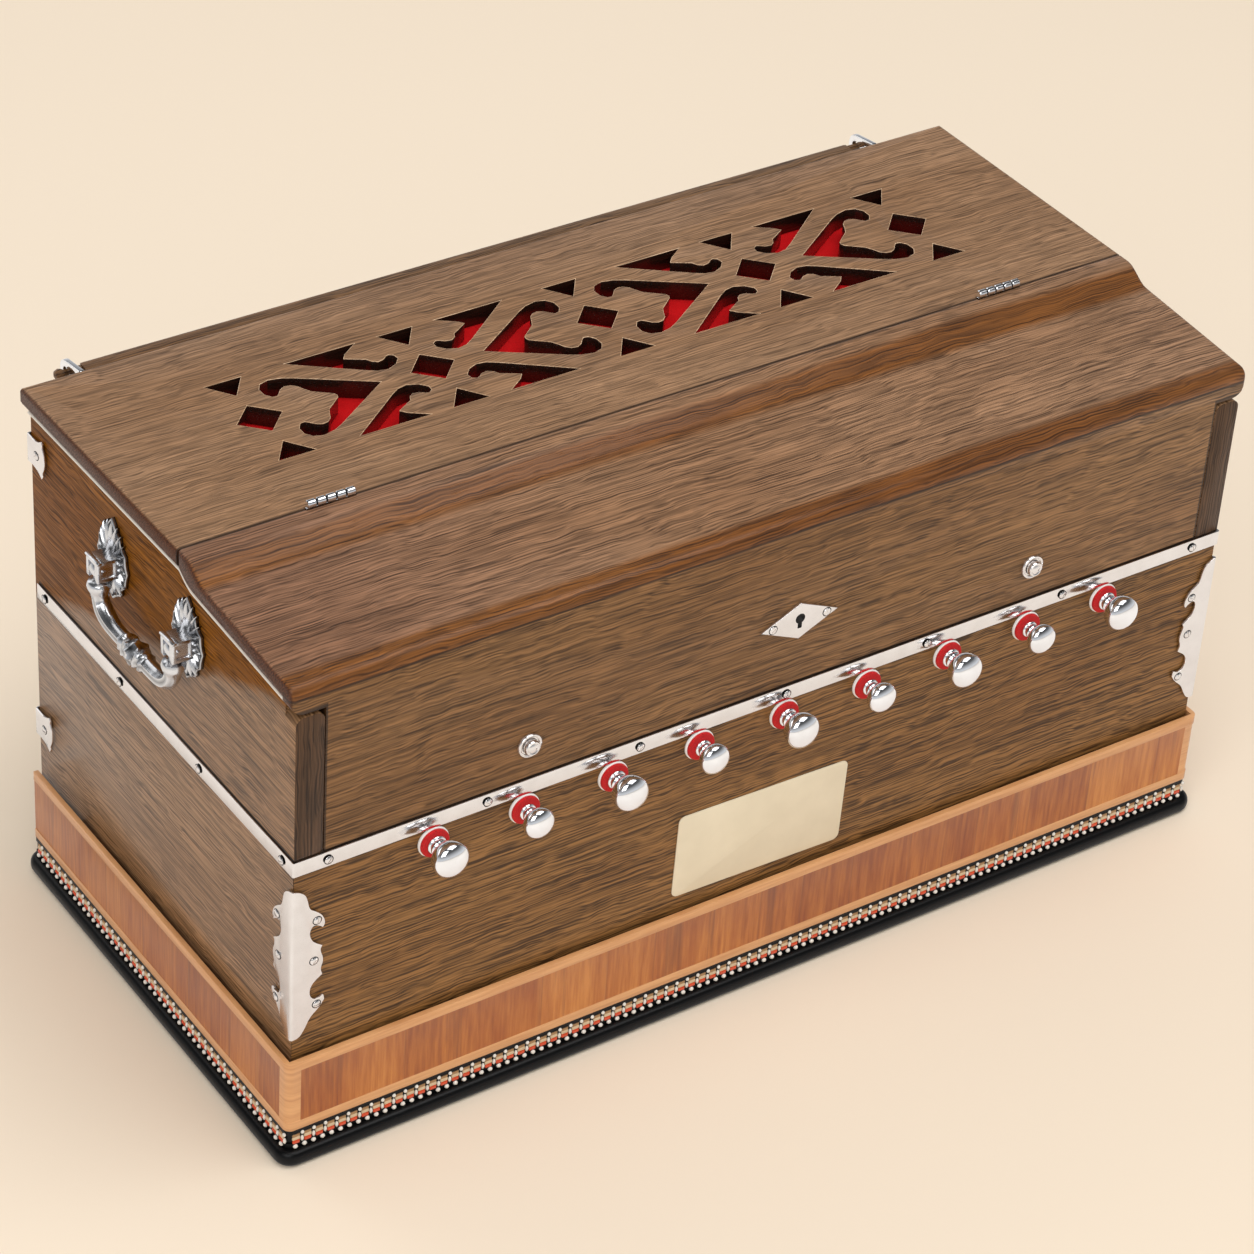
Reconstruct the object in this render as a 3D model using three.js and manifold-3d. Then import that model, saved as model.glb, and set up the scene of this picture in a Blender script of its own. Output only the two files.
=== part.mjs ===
// Portable hand-pumped harmonium (42 keys, nine stops).
//
// Millimetres, +Z up. While it is built, x = 0 is the middle of the width,
// y = 0 the front face of the case and z = 0 the surface that it stands on;
// the finished group is shifted so that its origin is at the middle of its base.

import * as THREE from 'three';
import { mergeVertices } from 'three/addons/utils/BufferGeometryUtils.js';
import Module from 'manifold-3d';

const wasm = await Module();
wasm.setup();

// Driving sizes

const SEAT = 0.3; // space kept between pieces that bear on each other
const OVERRUN = 5; // how far a cutting tool runs past what it cuts
const FUSE = 0.6; // how deep joined shapes run into each other
const WELD = 1e-4; // points closer than this are one point
const ROUND_SIDES_COUNT = 16; // facets of a plain rod
const TURNED_SIDES_COUNT = 10; // of a small turned piece
const PIN_SIDES_COUNT = 8; // of a pin and its bore
const SCREW_SIDES_COUNT = 6;
const CORNER_SIDES_COUNT = 24;

const CASE_W = 604; // over the side boards
const CASE_D = 280; // front face to rear face
const BOARD_T = 16.5; // side, front and back boards
const TOP_Z = 320.6; // flat top surface

const BASE_T = 9.5;
const BASE_MARGIN = 10; // base plate beyond the case, front and sides
const BASE_REAR_MARGIN = 5;
const BASE_CORNER_R = 10;
const BASE_EDGE_R = 3.2;

const INLAY_H = 12.4; // beaded strip between base plate and plinth
const INLAY_T = 4.2;
const INLAY_BEAD = 0.7; // how far the bead rows stand out
const INLAY_ROW_H = 3.2;

const PLINTH_H = 46.5;
const PLINTH_T = 2.7;
const PLINTH_GAP = 2.3; // open slot between plinth and case
const PLINTH_CORNER_R = 4.5;
const EDGING_H = 5.8;
const EDGING_PROUD = 0.35;

const FRONT_TOP_Z = 199.6; // top of the lower front board
const BAND_H = 9.2;
const BAND_T = 1.2;
const BAND_REAR_SETBACK = 4;

const LID_OVERHANG = 3; // lid beyond each side board
const LID_REAR_OVERHANG = 5.6;
const LID_T = 11;
const LID_EDGE_R = 2.4;
const JOINT_Y = 114.8; // joint between lid and front cover
const JOINT_GAP = 0.5;

const COVER_T = 10.2; // sloping part of the front cover
const PANEL_T = 10; // drop panel of the front cover
const PANEL_PLAY = 0.6;
const OGEE_REAR_Y = 107;
const OGEE_FRONT_Y = 88;
const OGEE_DROP = 8.3;
const UNDER_FOOT_Y = 99; // where the underside has come down to the slope
const SLOPE_DROP = 5.4; // from the ogee's foot to the nose
const NOSE_DEPTH = 6;
const NOSE_H = 5.5;
const EAR_DROP = 30.6; // the cover's front runs full width down to this far below the top
const EAR_CORNER_R = 9;
const POST_GAP = 2; // under the ears
const POST_CORNER_R = 5;

const EAR_BOTTOM_Z = TOP_Z - EAR_DROP;

// Small shape tools

function signedVolume(p, ix) {
  let v = 0;
  for (let i = 0; i < ix.length; i += 3) {
    const [a, b, c] = [ix[i] * 3, ix[i + 1] * 3, ix[i + 2] * 3];
    v += p[a] * (p[b + 1] * p[c + 2] - p[b + 2] * p[c + 1])
      - p[a + 1] * (p[b] * p[c + 2] - p[b + 2] * p[c])
      + p[a + 2] * (p[b] * p[c + 1] - p[b + 1] * p[c]);
  }
  return v;
}

// A closed three.js geometry as a solid whose faces point outwards.
function solid(geometry) {
  const bare = geometry.clone();
  bare.deleteAttribute('normal');
  bare.deleteAttribute('uv');
  const merged = mergeVertices(bare, WELD);
  const p = merged.attributes.position.array;
  const all = merged.index.array;
  const ix = [];
  for (let i = 0; i < all.length; i += 3) {
    const [a, b, c] = [all[i], all[i + 1], all[i + 2]];
    if (a !== b && b !== c && c !== a) ix.push(a, b, c);
  }
  if (signedVolume(p, ix) < 0) {
    for (let i = 0; i < ix.length; i += 3) [ix[i], ix[i + 1]] = [ix[i + 1], ix[i]];
  }
  return new wasm.Manifold(new wasm.Mesh({
    numProp: 3,
    vertProperties: new Float32Array(p),
    triVerts: new Uint32Array(ix),
  }));
}

function geometryOf(body) {
  const mesh = body.getMesh();
  const g = new THREE.BufferGeometry();
  g.setAttribute('position', new THREE.BufferAttribute(new Float32Array(mesh.vertProperties), 3));
  g.setIndex(new THREE.BufferAttribute(new Uint32Array(mesh.triVerts), 1));
  g.computeVertexNormals();
  return g;
}

const union = (first, ...rest) => rest.reduce((sum, part) => sum.add(part), first);
const cut = (body, ...tools) => tools.reduce((left, tool) => left.subtract(tool), body);
const mirrorX = (body) => body.mirror([1, 0, 0]);

function block([x0, x1], [y0, y1], [z0, z1]) {
  const g = new THREE.BoxGeometry(x1 - x0, y1 - y0, z1 - z0);
  return solid(g.translate((x0 + x1) / 2, (y0 + y1) / 2, (z0 + z1) / 2));
}

const outline = (points) => new THREE.Shape(points.map(([a, b]) => new THREE.Vector2(a, b)));

// Extrusions: along Z from an (x, y) outline, along X from a (y, z) outline
// and along Y from an (x, z) outline. round > 0 rounds the end edges.
function extruded(shape, length, round) {
  const bevelled = round > 0;
  const g = new THREE.ExtrudeGeometry(shape, {
    depth: length - (bevelled ? 2 * round : 0),
    bevelEnabled: bevelled,
    bevelThickness: round,
    bevelSize: round,
    bevelOffset: -round,
    bevelSegments: 2,
    curveSegments: 5,
  });
  return g.translate(0, 0, bevelled ? round : 0);
}

const prismZ = (shape, z0, z1, round = 0) => solid(extruded(shape, z1 - z0, round).translate(0, 0, z0));
const prismX = (shape, x0, x1, round = 0) => solid(extruded(shape, x1 - x0, round)
  .applyMatrix4(new THREE.Matrix4().set(0, 0, 1, x0, 1, 0, 0, 0, 0, 1, 0, 0, 0, 0, 0, 1)));
const prismY = (shape, y0, y1, round = 0) => solid(extruded(shape, y1 - y0, round)
  .rotateX(Math.PI / 2).translate(0, y1, 0));

// A solid of revolution from [radius, distance along the axis] pairs.
function turned(profile, axis, [x, y, z], sides = ROUND_SIDES_COUNT) {
  const g = new THREE.LatheGeometry(profile.map(([r, t]) => new THREE.Vector2(r, t)), sides);
  if (axis === 'x') g.rotateZ(-Math.PI / 2);
  if (axis === '-y') g.rotateZ(Math.PI);
  if (axis === 'z') g.rotateX(Math.PI / 2);
  return solid(g.translate(x, y, z));
}

const rod = (r, t0, t1, axis, at, sides = ROUND_SIDES_COUNT) => turned(
  [[0, t0], [r, t0], [r, t1], [0, t1]], axis, at, sides);

// Cuts or rounds one lower or upper corner of a board seen from the front.
function cornerTool(x, z, r, sx, sz, [y0, y1]) {
  const square = block(
    sx > 0 ? [x - r, x + OVERRUN] : [x - OVERRUN, x + r],
    [y0, y1],
    sz > 0 ? [z - r, z + OVERRUN] : [z - OVERRUN, z + r],
  );
  const round = rod(r, y0 - OVERRUN, y1 + OVERRUN, 'y', [x - sx * r, 0, z - sz * r], CORNER_SIDES_COUNT);
  return cut(square, round);
}

// A band that wraps the left side, the front and the right side of the case.
function wrap(offset, thickness, rearY, r) {
  const shape = new THREE.Shape();
  const [outX, outY] = [CASE_W / 2 + offset, -offset];
  const [inX, inY] = [outX - thickness, outY + thickness];
  shape.moveTo(-outX, rearY);
  shape.lineTo(-outX, outY + r);
  shape.absarc(-outX + r, outY + r, r, Math.PI, 1.5 * Math.PI, false);
  shape.lineTo(outX - r, outY);
  shape.absarc(outX - r, outY + r, r, 1.5 * Math.PI, 2 * Math.PI, false);
  shape.lineTo(outX, rearY);
  shape.lineTo(inX, rearY);
  shape.lineTo(inX, inY);
  shape.lineTo(-inX, inY);
  shape.lineTo(-inX, rearY);
  return shape;
}

// Colours

const finish = (color, roughness, metalness) => ({ color, roughness, metalness });
const WALNUT = finish(0x745a40, 0.45, 0);
const DARK_WALNUT = finish(0x4f4336, 0.5, 0);
const PLINTH_WOOD = finish(0xb8743f, 0.45, 0);
const PALE_WOOD = finish(0xb98f5e, 0.6, 0);
const BLACK_GLOSS = finish(0x050505, 0.1, 0);
const NICKEL = finish(0xdcd8d6, 0.25, 0.9);
const CHROME = finish(0xe6e8ea, 0.08, 1);
const CAST_SILVER = finish(0xb9b9b7, 0.25, 1);
const BEADS = finish(0xd8b090, 0.5, 0);
const RED_CLOTH = finish(0xb8121c, 0.9, 0);
const BELLOWS_CLOTH = finish(0x3a1512, 0.8, 0);
const IVORY = finish(0xf2efe4, 0.25, 0);
const EBONY = finish(0x111111, 0.25, 0);

const group = new THREE.Group();

function add(name, body, look) {
  const mesh = new THREE.Mesh(geometryOf(body), new THREE.MeshStandardMaterial(look));
  mesh.name = name;
  group.add(mesh);
}

// Base, inlay strip, plinth

const caseHalf = CASE_W / 2;
const baseX = caseHalf + BASE_MARGIN;
const caseBottomZ = BASE_T + SEAT;

{
  const s = new THREE.Shape();
  const [x, y0, y1, r] = [baseX, -BASE_MARGIN, CASE_D + BASE_REAR_MARGIN, BASE_CORNER_R];
  s.moveTo(-x + r, y0);
  s.lineTo(x - r, y0);
  s.absarc(x - r, y0 + r, r, -Math.PI / 2, 0, false);
  s.lineTo(x, y1 - r);
  s.absarc(x - r, y1 - r, r, 0, Math.PI / 2, false);
  s.lineTo(-x + r, y1);
  s.absarc(-x + r, y1 - r, r, Math.PI / 2, Math.PI, false);
  s.lineTo(-x, y0 + r);
  s.absarc(-x + r, y0 + r, r, Math.PI, 1.5 * Math.PI, false);
  add('base_plate', prismZ(s, 0, BASE_T, BASE_EDGE_R), BLACK_GLOSS);
}

const inlayTopZ = caseBottomZ + INLAY_H;
{
  const strip = (offset, z0, z1) => prismZ(
    wrap(offset, offset - SEAT, CASE_D - SEAT, PLINTH_CORNER_R), z0, z1);
  const upperRow = strip(INLAY_T + INLAY_BEAD, inlayTopZ - INLAY_ROW_H, inlayTopZ);
  const lowerRow = strip(INLAY_T + INLAY_BEAD, caseBottomZ, caseBottomZ + INLAY_ROW_H);
  add('beaded_inlay', union(strip(INLAY_T, caseBottomZ, inlayTopZ), upperRow, lowerRow), BEADS);
}

const plinthZ = inlayTopZ + SEAT;
const plinthTopZ = plinthZ + PLINTH_H;
{
  const skin = (proud, z0, z1) => prismZ(
    wrap(PLINTH_GAP + PLINTH_T + proud, PLINTH_T + proud, CASE_D - SEAT, PLINTH_CORNER_R), z0, z1);
  add('plinth_trim', union(
    skin(0, plinthZ, plinthTopZ),
    skin(EDGING_PROUD, plinthZ, plinthZ + EDGING_H),
    skin(EDGING_PROUD, plinthTopZ - EDGING_H, plinthTopZ),
  ), PLINTH_WOOD);
}

// Profile of lid and cover

const coverRearY = JOINT_Y - JOINT_GAP;
const slopeZ = (y) => TOP_Z - OGEE_DROP
  - SLOPE_DROP * (OGEE_FRONT_Y - y) / (OGEE_FRONT_Y - NOSE_DEPTH);

// Points of the ogee between the flat and the slope, rear to front.
function ogee(steps = 6) {
  const points = [];
  for (let i = 0; i <= steps; i += 1) {
    const t = i / steps;
    points.push([
      OGEE_REAR_Y + (OGEE_FRONT_Y - OGEE_REAR_Y) * t,
      TOP_Z - OGEE_DROP * (1 - Math.cos(Math.PI * t)) / 2,
    ]);
  }
  return points;
}

// The underside of the cover, front to rear: it follows the slope, then climbs to the lid's.
function underside(lower, steps = 4) {
  const footZ = slopeZ(UNDER_FOOT_Y) - COVER_T;
  const points = [[PANEL_T + lower, slopeZ(PANEL_T) - COVER_T - lower]];
  for (let i = 0; i <= steps; i += 1) {
    const t = i / steps;
    points.push([
      UNDER_FOOT_Y + (coverRearY - UNDER_FOOT_Y) * t,
      footZ - lower + (TOP_Z - LID_T - footZ) * (1 - Math.cos(Math.PI / 2 * t)),
    ]);
  }
  return points;
}

const nose = [1, 2, 3, 4].map((i) => {
  const a = (i / 4) * (Math.PI / 2);
  return [NOSE_DEPTH * (1 - Math.sin(a)), slopeZ(NOSE_DEPTH) - NOSE_H * (1 - Math.cos(a))];
});

const coverProfile = outline([
  [coverRearY, TOP_Z],
  ...ogee(),
  [NOSE_DEPTH, slopeZ(NOSE_DEPTH)],
  ...nose,
  [0, EAR_BOTTOM_Z],
  [PANEL_T, EAR_BOTTOM_Z],
  ...underside(0),
]);

// Case boards

const lidUnderZ = TOP_Z - LID_T;
const sideInX = caseHalf - BOARD_T;
const postTopZ = EAR_BOTTOM_Z - POST_GAP;
const postZ = FRONT_TOP_Z + SEAT;

// The mitre between the lower front board and the left side board, in plan:
// what lies on the front board's side of it (side = 1) or on the other (-1).
function mitreTool(side, z1) {
  const shift = side > 0 ? SEAT * Math.SQRT2 : 0;
  return prismZ(outline([
    [-caseHalf - OVERRUN, -OVERRUN + shift],
    [-sideInX + OVERRUN, BOARD_T + OVERRUN + shift],
    side > 0 ? [-sideInX + OVERRUN, -OVERRUN] : [-caseHalf - OVERRUN, BOARD_T + OVERRUN],
  ]), -OVERRUN, z1);
}

{
  const side = prismX(outline([
    [0, caseBottomZ],
    [0, postTopZ],
    [PANEL_T + SEAT, postTopZ],
    ...underside(SEAT),
    [CASE_D, lidUnderZ - SEAT],
    [CASE_D, caseBottomZ],
  ]), -caseHalf, -sideInX);
  const left = cut(
    side,
    mitreTool(1, postZ),
    cornerTool(-sideInX, postTopZ, POST_CORNER_R, 1, 1, [-OVERRUN, PANEL_T + SEAT]),
    cornerTool(-caseHalf, postTopZ, POST_CORNER_R, -1, 1, [-OVERRUN, PANEL_T + SEAT]),
  );
  add('side_left', left, WALNUT);
  add('side_right', mirrorX(left), WALNUT);
}

// Stops (knobs)

const STOP_COUNT = 9;
const STOP_INSET = 81.6; // outermost stops from the ends of the front
const STOP_DROP = 18.6; // below the top of the lower front board
const STOP_TRAVEL = 15;
const STEM_R = 3.2;
const STEM_HOLE_R = 3.6;
const STEM_INSIDE = 28; // stem behind the front board
const STEM_COLLAR_R = 4.6;
const STEM_COLLAR_T = 3;
const WASHER_R = 8.8;
const WHITE_WASHER_T = 1.5;
const RED_WASHER_T = 1.8;
const RED_WASHER_R = 8.3;
const STOP_NECK_R = 3.6;
const STOP_RING_R = 5;
const STOP_RING_T = 3;
const LARGE_HEAD_R = 10.4;
const LARGE_HEAD_OUT = 19; // widest part of the head, from the board
const SMALL_HEAD_R = 9;
const SMALL_HEAD_OUT = 16;

const stopPitch = (CASE_W - 2 * STOP_INSET) / (STOP_COUNT - 1);
const stopZ = FRONT_TOP_Z - STOP_DROP;
const stopX = (i) => (i - (STOP_COUNT - 1) / 2) * stopPitch;
const stops = Array.from({ length: STOP_COUNT }, (_, i) => i);

{
  const front = block([-caseHalf, caseHalf], [0, BOARD_T], [caseBottomZ, FRONT_TOP_Z]);
  const mitre = mitreTool(-1, FRONT_TOP_Z + OVERRUN);
  const washers = stops.map((i) => turned([
    [0, -FUSE], [WASHER_R, -FUSE], [WASHER_R, WHITE_WASHER_T], [RED_WASHER_R, WHITE_WASHER_T],
    [RED_WASHER_R, WHITE_WASHER_T + RED_WASHER_T], [0, WHITE_WASHER_T + RED_WASHER_T],
  ], '-y', [stopX(i), 0, stopZ], TURNED_SIDES_COUNT));
  const holes = stops.map((i) => rod(
    STEM_HOLE_R, -BOARD_T - OVERRUN, OVERRUN * 2, '-y', [stopX(i), 0, stopZ], PIN_SIDES_COUNT));
  add('front_board', cut(union(front, ...washers), mitre, mirrorX(mitre), ...holes), WALNUT);
}

function stopKnob(i) {
  const large = i % 2 === 0;
  const [r, out] = large ? [LARGE_HEAD_R, LARGE_HEAD_OUT] : [SMALL_HEAD_R, SMALL_HEAD_OUT];
  const dome = 0.62 * r;
  const back = 0.48 * r;
  const collarBack = BOARD_T + STOP_TRAVEL + SEAT;
  const profile = [
    [0, -BOARD_T - STEM_INSIDE],
    [STEM_R, -BOARD_T - STEM_INSIDE],
    [STEM_R, -collarBack - STEM_COLLAR_T],
    [STEM_COLLAR_R, -collarBack - STEM_COLLAR_T],
    [STEM_COLLAR_R, -collarBack],
    [STEM_R, -collarBack],
    [STEM_R, WHITE_WASHER_T + RED_WASHER_T + SEAT],
    [STOP_RING_R, WHITE_WASHER_T + RED_WASHER_T + SEAT],
    [STOP_RING_R, WHITE_WASHER_T + RED_WASHER_T + SEAT + STOP_RING_T],
    [STOP_NECK_R, WHITE_WASHER_T + RED_WASHER_T + SEAT + STOP_RING_T],
    [STOP_NECK_R, out - back],
    [0.8 * r, out - 0.5 * back],
    [r, out],
    [0.88 * r, out + 0.48 * dome],
    [0.5 * r, out + 0.87 * dome],
    [0, out + dome],
  ];
  return turned(profile, '-y', [stopX(i), 0, stopZ], TURNED_SIDES_COUNT);
}

stops.forEach((i) => add(`stop_knob_${i + 1}`, stopKnob(i), CHROME));

// Rear board and bellows hinge bar

const BELLOWS_INSET = 46; // each side of the bellows from the case side
const BELLOWS_T = 15;
const BELLOWS_GAP = 18.7; // room for the folded bellows
const BELLOWS_BOTTOM_Z = 78;
const BELLOWS_TOP_DROP = 14.6; // board's top edge below the lid's top
const BELLOWS_EDGE_R = 2;
const HINGE_BAR_H = 14;
const WIND_HOLE_R = 16;
const WIND_HOLE_INSET = 46; // outer wind holes from the bellows' sides
const WIND_HOLE_Z = 120;

const HOOK_GAP = 6.5; // from the bellows' side to the strap's inner face
const HOOK_T = 3;
const HOOK_PIVOT_Y = 10.5; // behind the case
const HOOK_PIVOT_DROP = 6; // below the board's top edge
const HOOK_PIN_R = 1.8;
const HOOK_EYE_R = 4.3;
const HOOK_ARM_W = 5;
const HOOK_RISE = 13.4; // the arm's upper edge above the pivot
const HOOK_LOOP_R = 6.2;
const HOOK_MOUTH_R = 2.5;
const HOOK_PLAY = 1.4; // room in the mouth above the stud
const HOOK_LIP = 5;
const LUG_T = 2.5;
const LUG_H = 10;
const PIN_HEAD_R = 3.4;
const PIN_HEAD_T = 1.6;
const STUD_R = 2;
const STUD_BALL_R = 3.4;
const STUD_DROP = 2.6; // stud axis below the board's top edge
const STUD_FROM_FACE = 2.8; // stud axis inside the board's outer face

const bellowsW = CASE_W - 2 * BELLOWS_INSET;
const bellowsTopZ = TOP_Z - BELLOWS_TOP_DROP;
const hookX = bellowsW / 2 + HOOK_GAP;
const pivotZ = bellowsTopZ - HOOK_PIVOT_DROP;
const windHoleSpacing = bellowsW / 2 - WIND_HOLE_INSET;
const bellowsInY = CASE_D + BELLOWS_GAP;
const bellowsOutY = bellowsInY + BELLOWS_T;
const hookPivot = [CASE_D + HOOK_PIVOT_Y, pivotZ];
const stud = [bellowsOutY - STUD_FROM_FACE, bellowsTopZ - STUD_DROP];

{
  const board = block(
    [-sideInX + SEAT, sideInX - SEAT], [CASE_D - BOARD_T, CASE_D], [caseBottomZ, lidUnderZ - SEAT]);
  const bar = block(
    [-bellowsW / 2, bellowsW / 2], [CASE_D - FUSE, bellowsInY - SEAT],
    [BELLOWS_BOTTOM_Z - HINGE_BAR_H, BELLOWS_BOTTOM_Z]);
  const holes = [-1, 0, 1].map((k) => rod(
    WIND_HOLE_R, CASE_D - BOARD_T - OVERRUN, CASE_D + OVERRUN, 'y', [k * windHoleSpacing, 0, WIND_HOLE_Z],
    TURNED_SIDES_COUNT));
  // Lug with the pivot pin of a bellows hook, on the left.
  const lugX = -hookX + SEAT;
  const headX = -hookX - HOOK_T - SEAT - PIN_HEAD_T;
  const pin = union(
    block([lugX, lugX + LUG_T], [CASE_D - FUSE, hookPivot[0]],
      [pivotZ - LUG_H / 2, pivotZ + LUG_H / 2]),
    rod(LUG_H / 2, lugX, lugX + LUG_T, 'x', [0, ...hookPivot], TURNED_SIDES_COUNT),
    rod(HOOK_PIN_R, headX, lugX + FUSE, 'x', [0, ...hookPivot], PIN_SIDES_COUNT),
    rod(PIN_HEAD_R, headX, headX + PIN_HEAD_T, 'x', [0, ...hookPivot], PIN_SIDES_COUNT),
  );
  add('back_board', cut(union(board, bar, pin, mirrorX(pin)), ...holes), WALNUT);
}

// Pump bellows: board, folded cloth and the two hooks that hold it shut.
{
  const face = outline([
    [-bellowsW / 2, BELLOWS_BOTTOM_Z + SEAT], [bellowsW / 2, BELLOWS_BOTTOM_Z + SEAT],
    [bellowsW / 2, bellowsTopZ], [-bellowsW / 2, bellowsTopZ],
  ]);
  const ballX = hookX + HOOK_T + SEAT;
  const catchStud = turned([
    [0, bellowsW / 2 - BELLOWS_EDGE_R - FUSE], [STUD_R, bellowsW / 2 - BELLOWS_EDGE_R - FUSE],
    [STUD_R, ballX + FUSE], [0.86 * STUD_BALL_R, ballX + 0.5 * STUD_BALL_R],
    [STUD_BALL_R, ballX + STUD_BALL_R], [0.7 * STUD_BALL_R, ballX + 1.7 * STUD_BALL_R],
    [0, ballX + 2 * STUD_BALL_R],
  ], 'x', [0, ...stud], PIN_SIDES_COUNT);
  add('bellows_board', union(
    prismY(face, bellowsInY, bellowsOutY, BELLOWS_EDGE_R), catchStud, mirrorX(catchStud)), WALNUT);
}

const FOLD_COUNT = 4;
const FOLD_DEPTH = 18; // deep enough to open with the board
const FOLD_INSET = 7; // outer crease inside the board's edge

// A pleated block: rectangles in a row along an axis, alternately wide and narrow.
function pleated([w, h], depth, folds, fold, toPoint) {
  const rings = [];
  for (let i = 0; i <= 2 * folds; i += 1) {
    const inset = i % 2 === 0 ? fold : 0;
    const [a, b, d] = [w / 2 - inset, h / 2 - inset, depth * i / (2 * folds)];
    rings.push([[-a, -b, d], [a, -b, d], [a, b, d], [-a, b, d]]);
  }
  const p = rings.flat().flatMap((q) => toPoint(...q));
  const ix = [0, 2, 1, 0, 3, 2];
  for (let i = 0; i + 1 < rings.length; i += 1) {
    for (let k = 0; k < 4; k += 1) {
      const [a, b] = [4 * i + k, 4 * i + (k + 1) % 4];
      ix.push(a, b, b + 4, a, b + 4, a + 4);
    }
  }
  const e = 4 * (rings.length - 1);
  ix.push(e, e + 1, e + 2, e, e + 2, e + 3);
  const g = new THREE.BufferGeometry();
  g.setAttribute('position', new THREE.Float32BufferAttribute(p, 3));
  g.setIndex(ix);
  return solid(g);
}

{
  const [z0, z1] = [BELLOWS_BOTTOM_Z + SEAT, bellowsTopZ - FOLD_INSET];
  add('bellows_folds', pleated(
    [bellowsW - 2 * FOLD_INSET, z1 - z0], BELLOWS_GAP - 2 * SEAT, FOLD_COUNT, FOLD_DEPTH,
    (a, b, d) => [a, CASE_D + SEAT + d, (z0 + z1) / 2 + b]), BELLOWS_CLOTH);
}

// Hook strap in the (y, z) plane: eye, rising arm, loop with a mouth, rear lip.
function hookOutline() {
  const [loopY, loopZ] = [stud[0], stud[1] + HOOK_PLAY];
  const [py, pz] = hookPivot;
  const arc = (y, z, r, from, to, steps) => Array.from({ length: steps + 1 }, (_, i) => {
    const a = from + (to - from) * i / steps;
    return [y + r * Math.cos(a), z + r * Math.sin(a)];
  });
  return [
    ...arc(py, pz, HOOK_EYE_R, 0, -1.2 * Math.PI, 7),
    [py - HOOK_EYE_R / 2, pz + HOOK_RISE * 0.55],
    [py, pz + HOOK_RISE * 0.85],
    [py + HOOK_EYE_R, pz + HOOK_RISE],
    ...arc(loopY, loopZ, HOOK_LOOP_R, Math.PI / 2, 0, 5),
    [loopY + HOOK_LOOP_R, loopZ - HOOK_LIP],
    [loopY + HOOK_MOUTH_R, loopZ - HOOK_LIP],
    ...arc(loopY, loopZ, HOOK_MOUTH_R, 0, Math.PI, 5),
    [loopY - HOOK_MOUTH_R - HOOK_ARM_W / 2, loopZ],
    [py + HOOK_ARM_W + HOOK_EYE_R / 2, pz + HOOK_RISE - HOOK_ARM_W],
    [py + HOOK_ARM_W, pz + HOOK_RISE / 2],
  ];
}

{
  const strap = cut(
    prismX(outline(hookOutline()), -hookX - HOOK_T, -hookX),
    rod(HOOK_PIN_R + SEAT, -hookX - HOOK_T - OVERRUN, -hookX + OVERRUN, 'x',
      [0, ...hookPivot], PIN_SIDES_COUNT),
  );
  add('bellows_hook_left', strap, CHROME);
  add('bellows_hook_right', mirrorX(strap), CHROME);
}

// Fretted lid top

const FRET_CELLS = 4;
const FRET_INSET = 89.4; // pattern from the case sides
const FRET_MARGIN = 42.85; // and from the joint and the rear face
const FRET_MID_X = 3.4;
const FRET_SHIFT_Y = 2.1; // its middle line behind the middle of the lid
const CLOTH_MARGIN = 14;
const CLOTH_T = 1;

const fretPitch = (CASE_W - 2 * FRET_INSET) / FRET_CELLS; // from one diamond to the next
const fretH = CASE_D - JOINT_Y - 2 * FRET_MARGIN;
const fretMidY = (JOINT_Y + CASE_D) / 2 + FRET_SHIFT_Y;

// Half-sizes of diamonds and triangles as shares of the pitch and the height.
const DIAMOND_SHARES = [0.127, 0.17];
const TRIANGLE_SHARES = [0.104, 0.19];

// Openings of one cell as shares of the pitch (from the left diamond) and of
// the height (from the middle line).
const WING_LINE_SHARES = [[0.238, 0.5], [0.645, 0.5]];
const WING_SCROLL_SHARES = [
  [0.315, 0.174], [0.256, 0.126], [0.197, 0.117], [0.1375, 0.159], [0.11, 0.22], [0.13, 0.259],
  [0.152, 0.265], [0.17, 0.241], [0.209, 0.22], [0.244, 0.241], [0.26, 0.285], [0.293, 0.31],
];
const WING_NOTCH_SHARES = [[0.3625, 0.365], [0.332, 0.414]];
const FAN_APEX_SHARE = [0.303, 0];
const FAN_SCROLL_SHARES = [
  [0.67, 0.316], [0.729, 0.357], [0.803, 0.377], [0.855, 0.347], [0.877, 0.285], [0.868, 0.212],
  [0.8365, 0.178], [0.8125, 0.19], [0.793, 0.225], [0.764, 0.256], [0.729, 0.259], [0.697, 0.232],
  [0.678, 0.183], [0.659, 0.13], [0.606, 0.073], [0.5625, 0.027],
];
const FAN_ROOT_SHARE = [0.556, 0];

function smooth(shares, steps) {
  const curve = new THREE.SplineCurve(shares.map(([u, v]) => new THREE.Vector2(u, v)));
  return curve.getPoints(steps).map((p) => [p.x, p.y]);
}

const wing = [...WING_LINE_SHARES, ...smooth(WING_SCROLL_SHARES, 12), ...WING_NOTCH_SHARES];
const fanHalf = [FAN_APEX_SHARE, ...smooth(FAN_SCROLL_SHARES, 16)];
const fan = [
  ...fanHalf, FAN_ROOT_SHARE,
  ...fanHalf.slice(1).reverse().map(([u, v]) => [u, -v]),
];

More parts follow.
